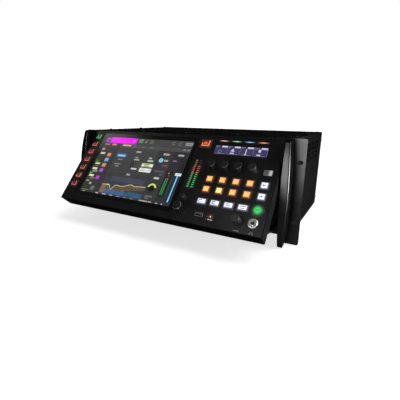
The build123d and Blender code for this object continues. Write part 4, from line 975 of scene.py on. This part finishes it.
def aimed(name, kind, place, target, energy):
    """Light of a kind, aimed at a point and hidden from the camera."""
    data = bpy.data.lights.new(name, kind)
    data.energy = energy
    light = bpy.data.objects.new(name, data)
    light.location = place
    light.rotation_mode = "QUATERNION"
    light.rotation_quaternion = (Vector(target) - Vector(place)).to_track_quat("-Z", "Y")
    light.visible_camera = False
    bpy.context.scene.collection.objects.link(light)
    return light


def card(name, place, target, width, height, energy, sheen_only=False):
    """Soft rectangular light; one for sheen only is just mirrored in glossy surfaces."""
    light = aimed(name, "AREA", place, target, energy)
    light.data.shape = "RECTANGLE"
    light.data.size, light.data.size_y = width, height
    light.visible_diffuse = not sheen_only


sky = aimed("soft_sky", "SUN", (1.1, 0.8, 1.9), (0, 0, 0), 2.9)
sky.data.angle = math.radians(60)
card("left_card", (-1.25, -0.12, 1.15), (-0.2, 0.0, 0.06), 0.45, 0.30, 2.4)
card("front_card", (0.155, -0.36, 0.075), (0.155, 0.0, 0.075), 0.16, 0.25, 4.4, sheen_only=True)
card("right_card", (0.68, -0.09, 0.03), (0.23, -0.03, 0.03), 0.16, 0.24, 45.0, sheen_only=True)

world = bpy.data.worlds.new("studio")
bpy.context.scene.world = world
world.use_nodes = True
background = world.node_tree.nodes["Background"]
light_path = world.node_tree.nodes.new("ShaderNodeLightPath")
shade = world.node_tree.nodes.new("ShaderNodeMapRange")
# white to the camera, dim as a light
AMBIENT, BACKDROP = 0.16, 1.0
shade.inputs["To Min"].default_value = AMBIENT
shade.inputs["To Max"].default_value = BACKDROP
world.node_tree.links.new(light_path.outputs["Is Camera Ray"], shade.inputs["Value"])
world.node_tree.links.new(shade.outputs["Result"], background.inputs["Strength"])
background.inputs["Color"].default_value = (1, 1, 1, 1)
bpy.context.scene.view_settings.view_transform = "Standard"

CAMERA_PLACE = (0.3272, -0.5179, 0.1198)
CAMERA_YAW = math.radians(29.94)
CAMERA_PITCH = math.radians(-13.38)
CAMERA_ROLL = math.radians(0.75)
camera_data = bpy.data.cameras.new("camera")
camera_data.sensor_width = 36.0
camera_data.lens = 28.095
camera_data.shift_x = 0.026
camera_data.shift_y = -0.0225
camera = bpy.data.objects.new("camera", camera_data)
forward = Vector((-math.sin(CAMERA_YAW) * math.cos(CAMERA_PITCH),
                  math.cos(CAMERA_YAW) * math.cos(CAMERA_PITCH), math.sin(CAMERA_PITCH)))
level = forward.cross(Vector((0, 0, 1))).normalized()
above = level.cross(forward)
right = math.cos(CAMERA_ROLL) * level + math.sin(CAMERA_ROLL) * above
head = -math.sin(CAMERA_ROLL) * level + math.cos(CAMERA_ROLL) * above
camera.matrix_world = Matrix.Translation(CAMERA_PLACE) @ Matrix((
    (right.x, head.x, -forward.x, 0), (right.y, head.y, -forward.y, 0),
    (right.z, head.z, -forward.z, 0), (0, 0, 0, 1)))
bpy.context.scene.collection.objects.link(camera)
bpy.context.scene.camera = camera
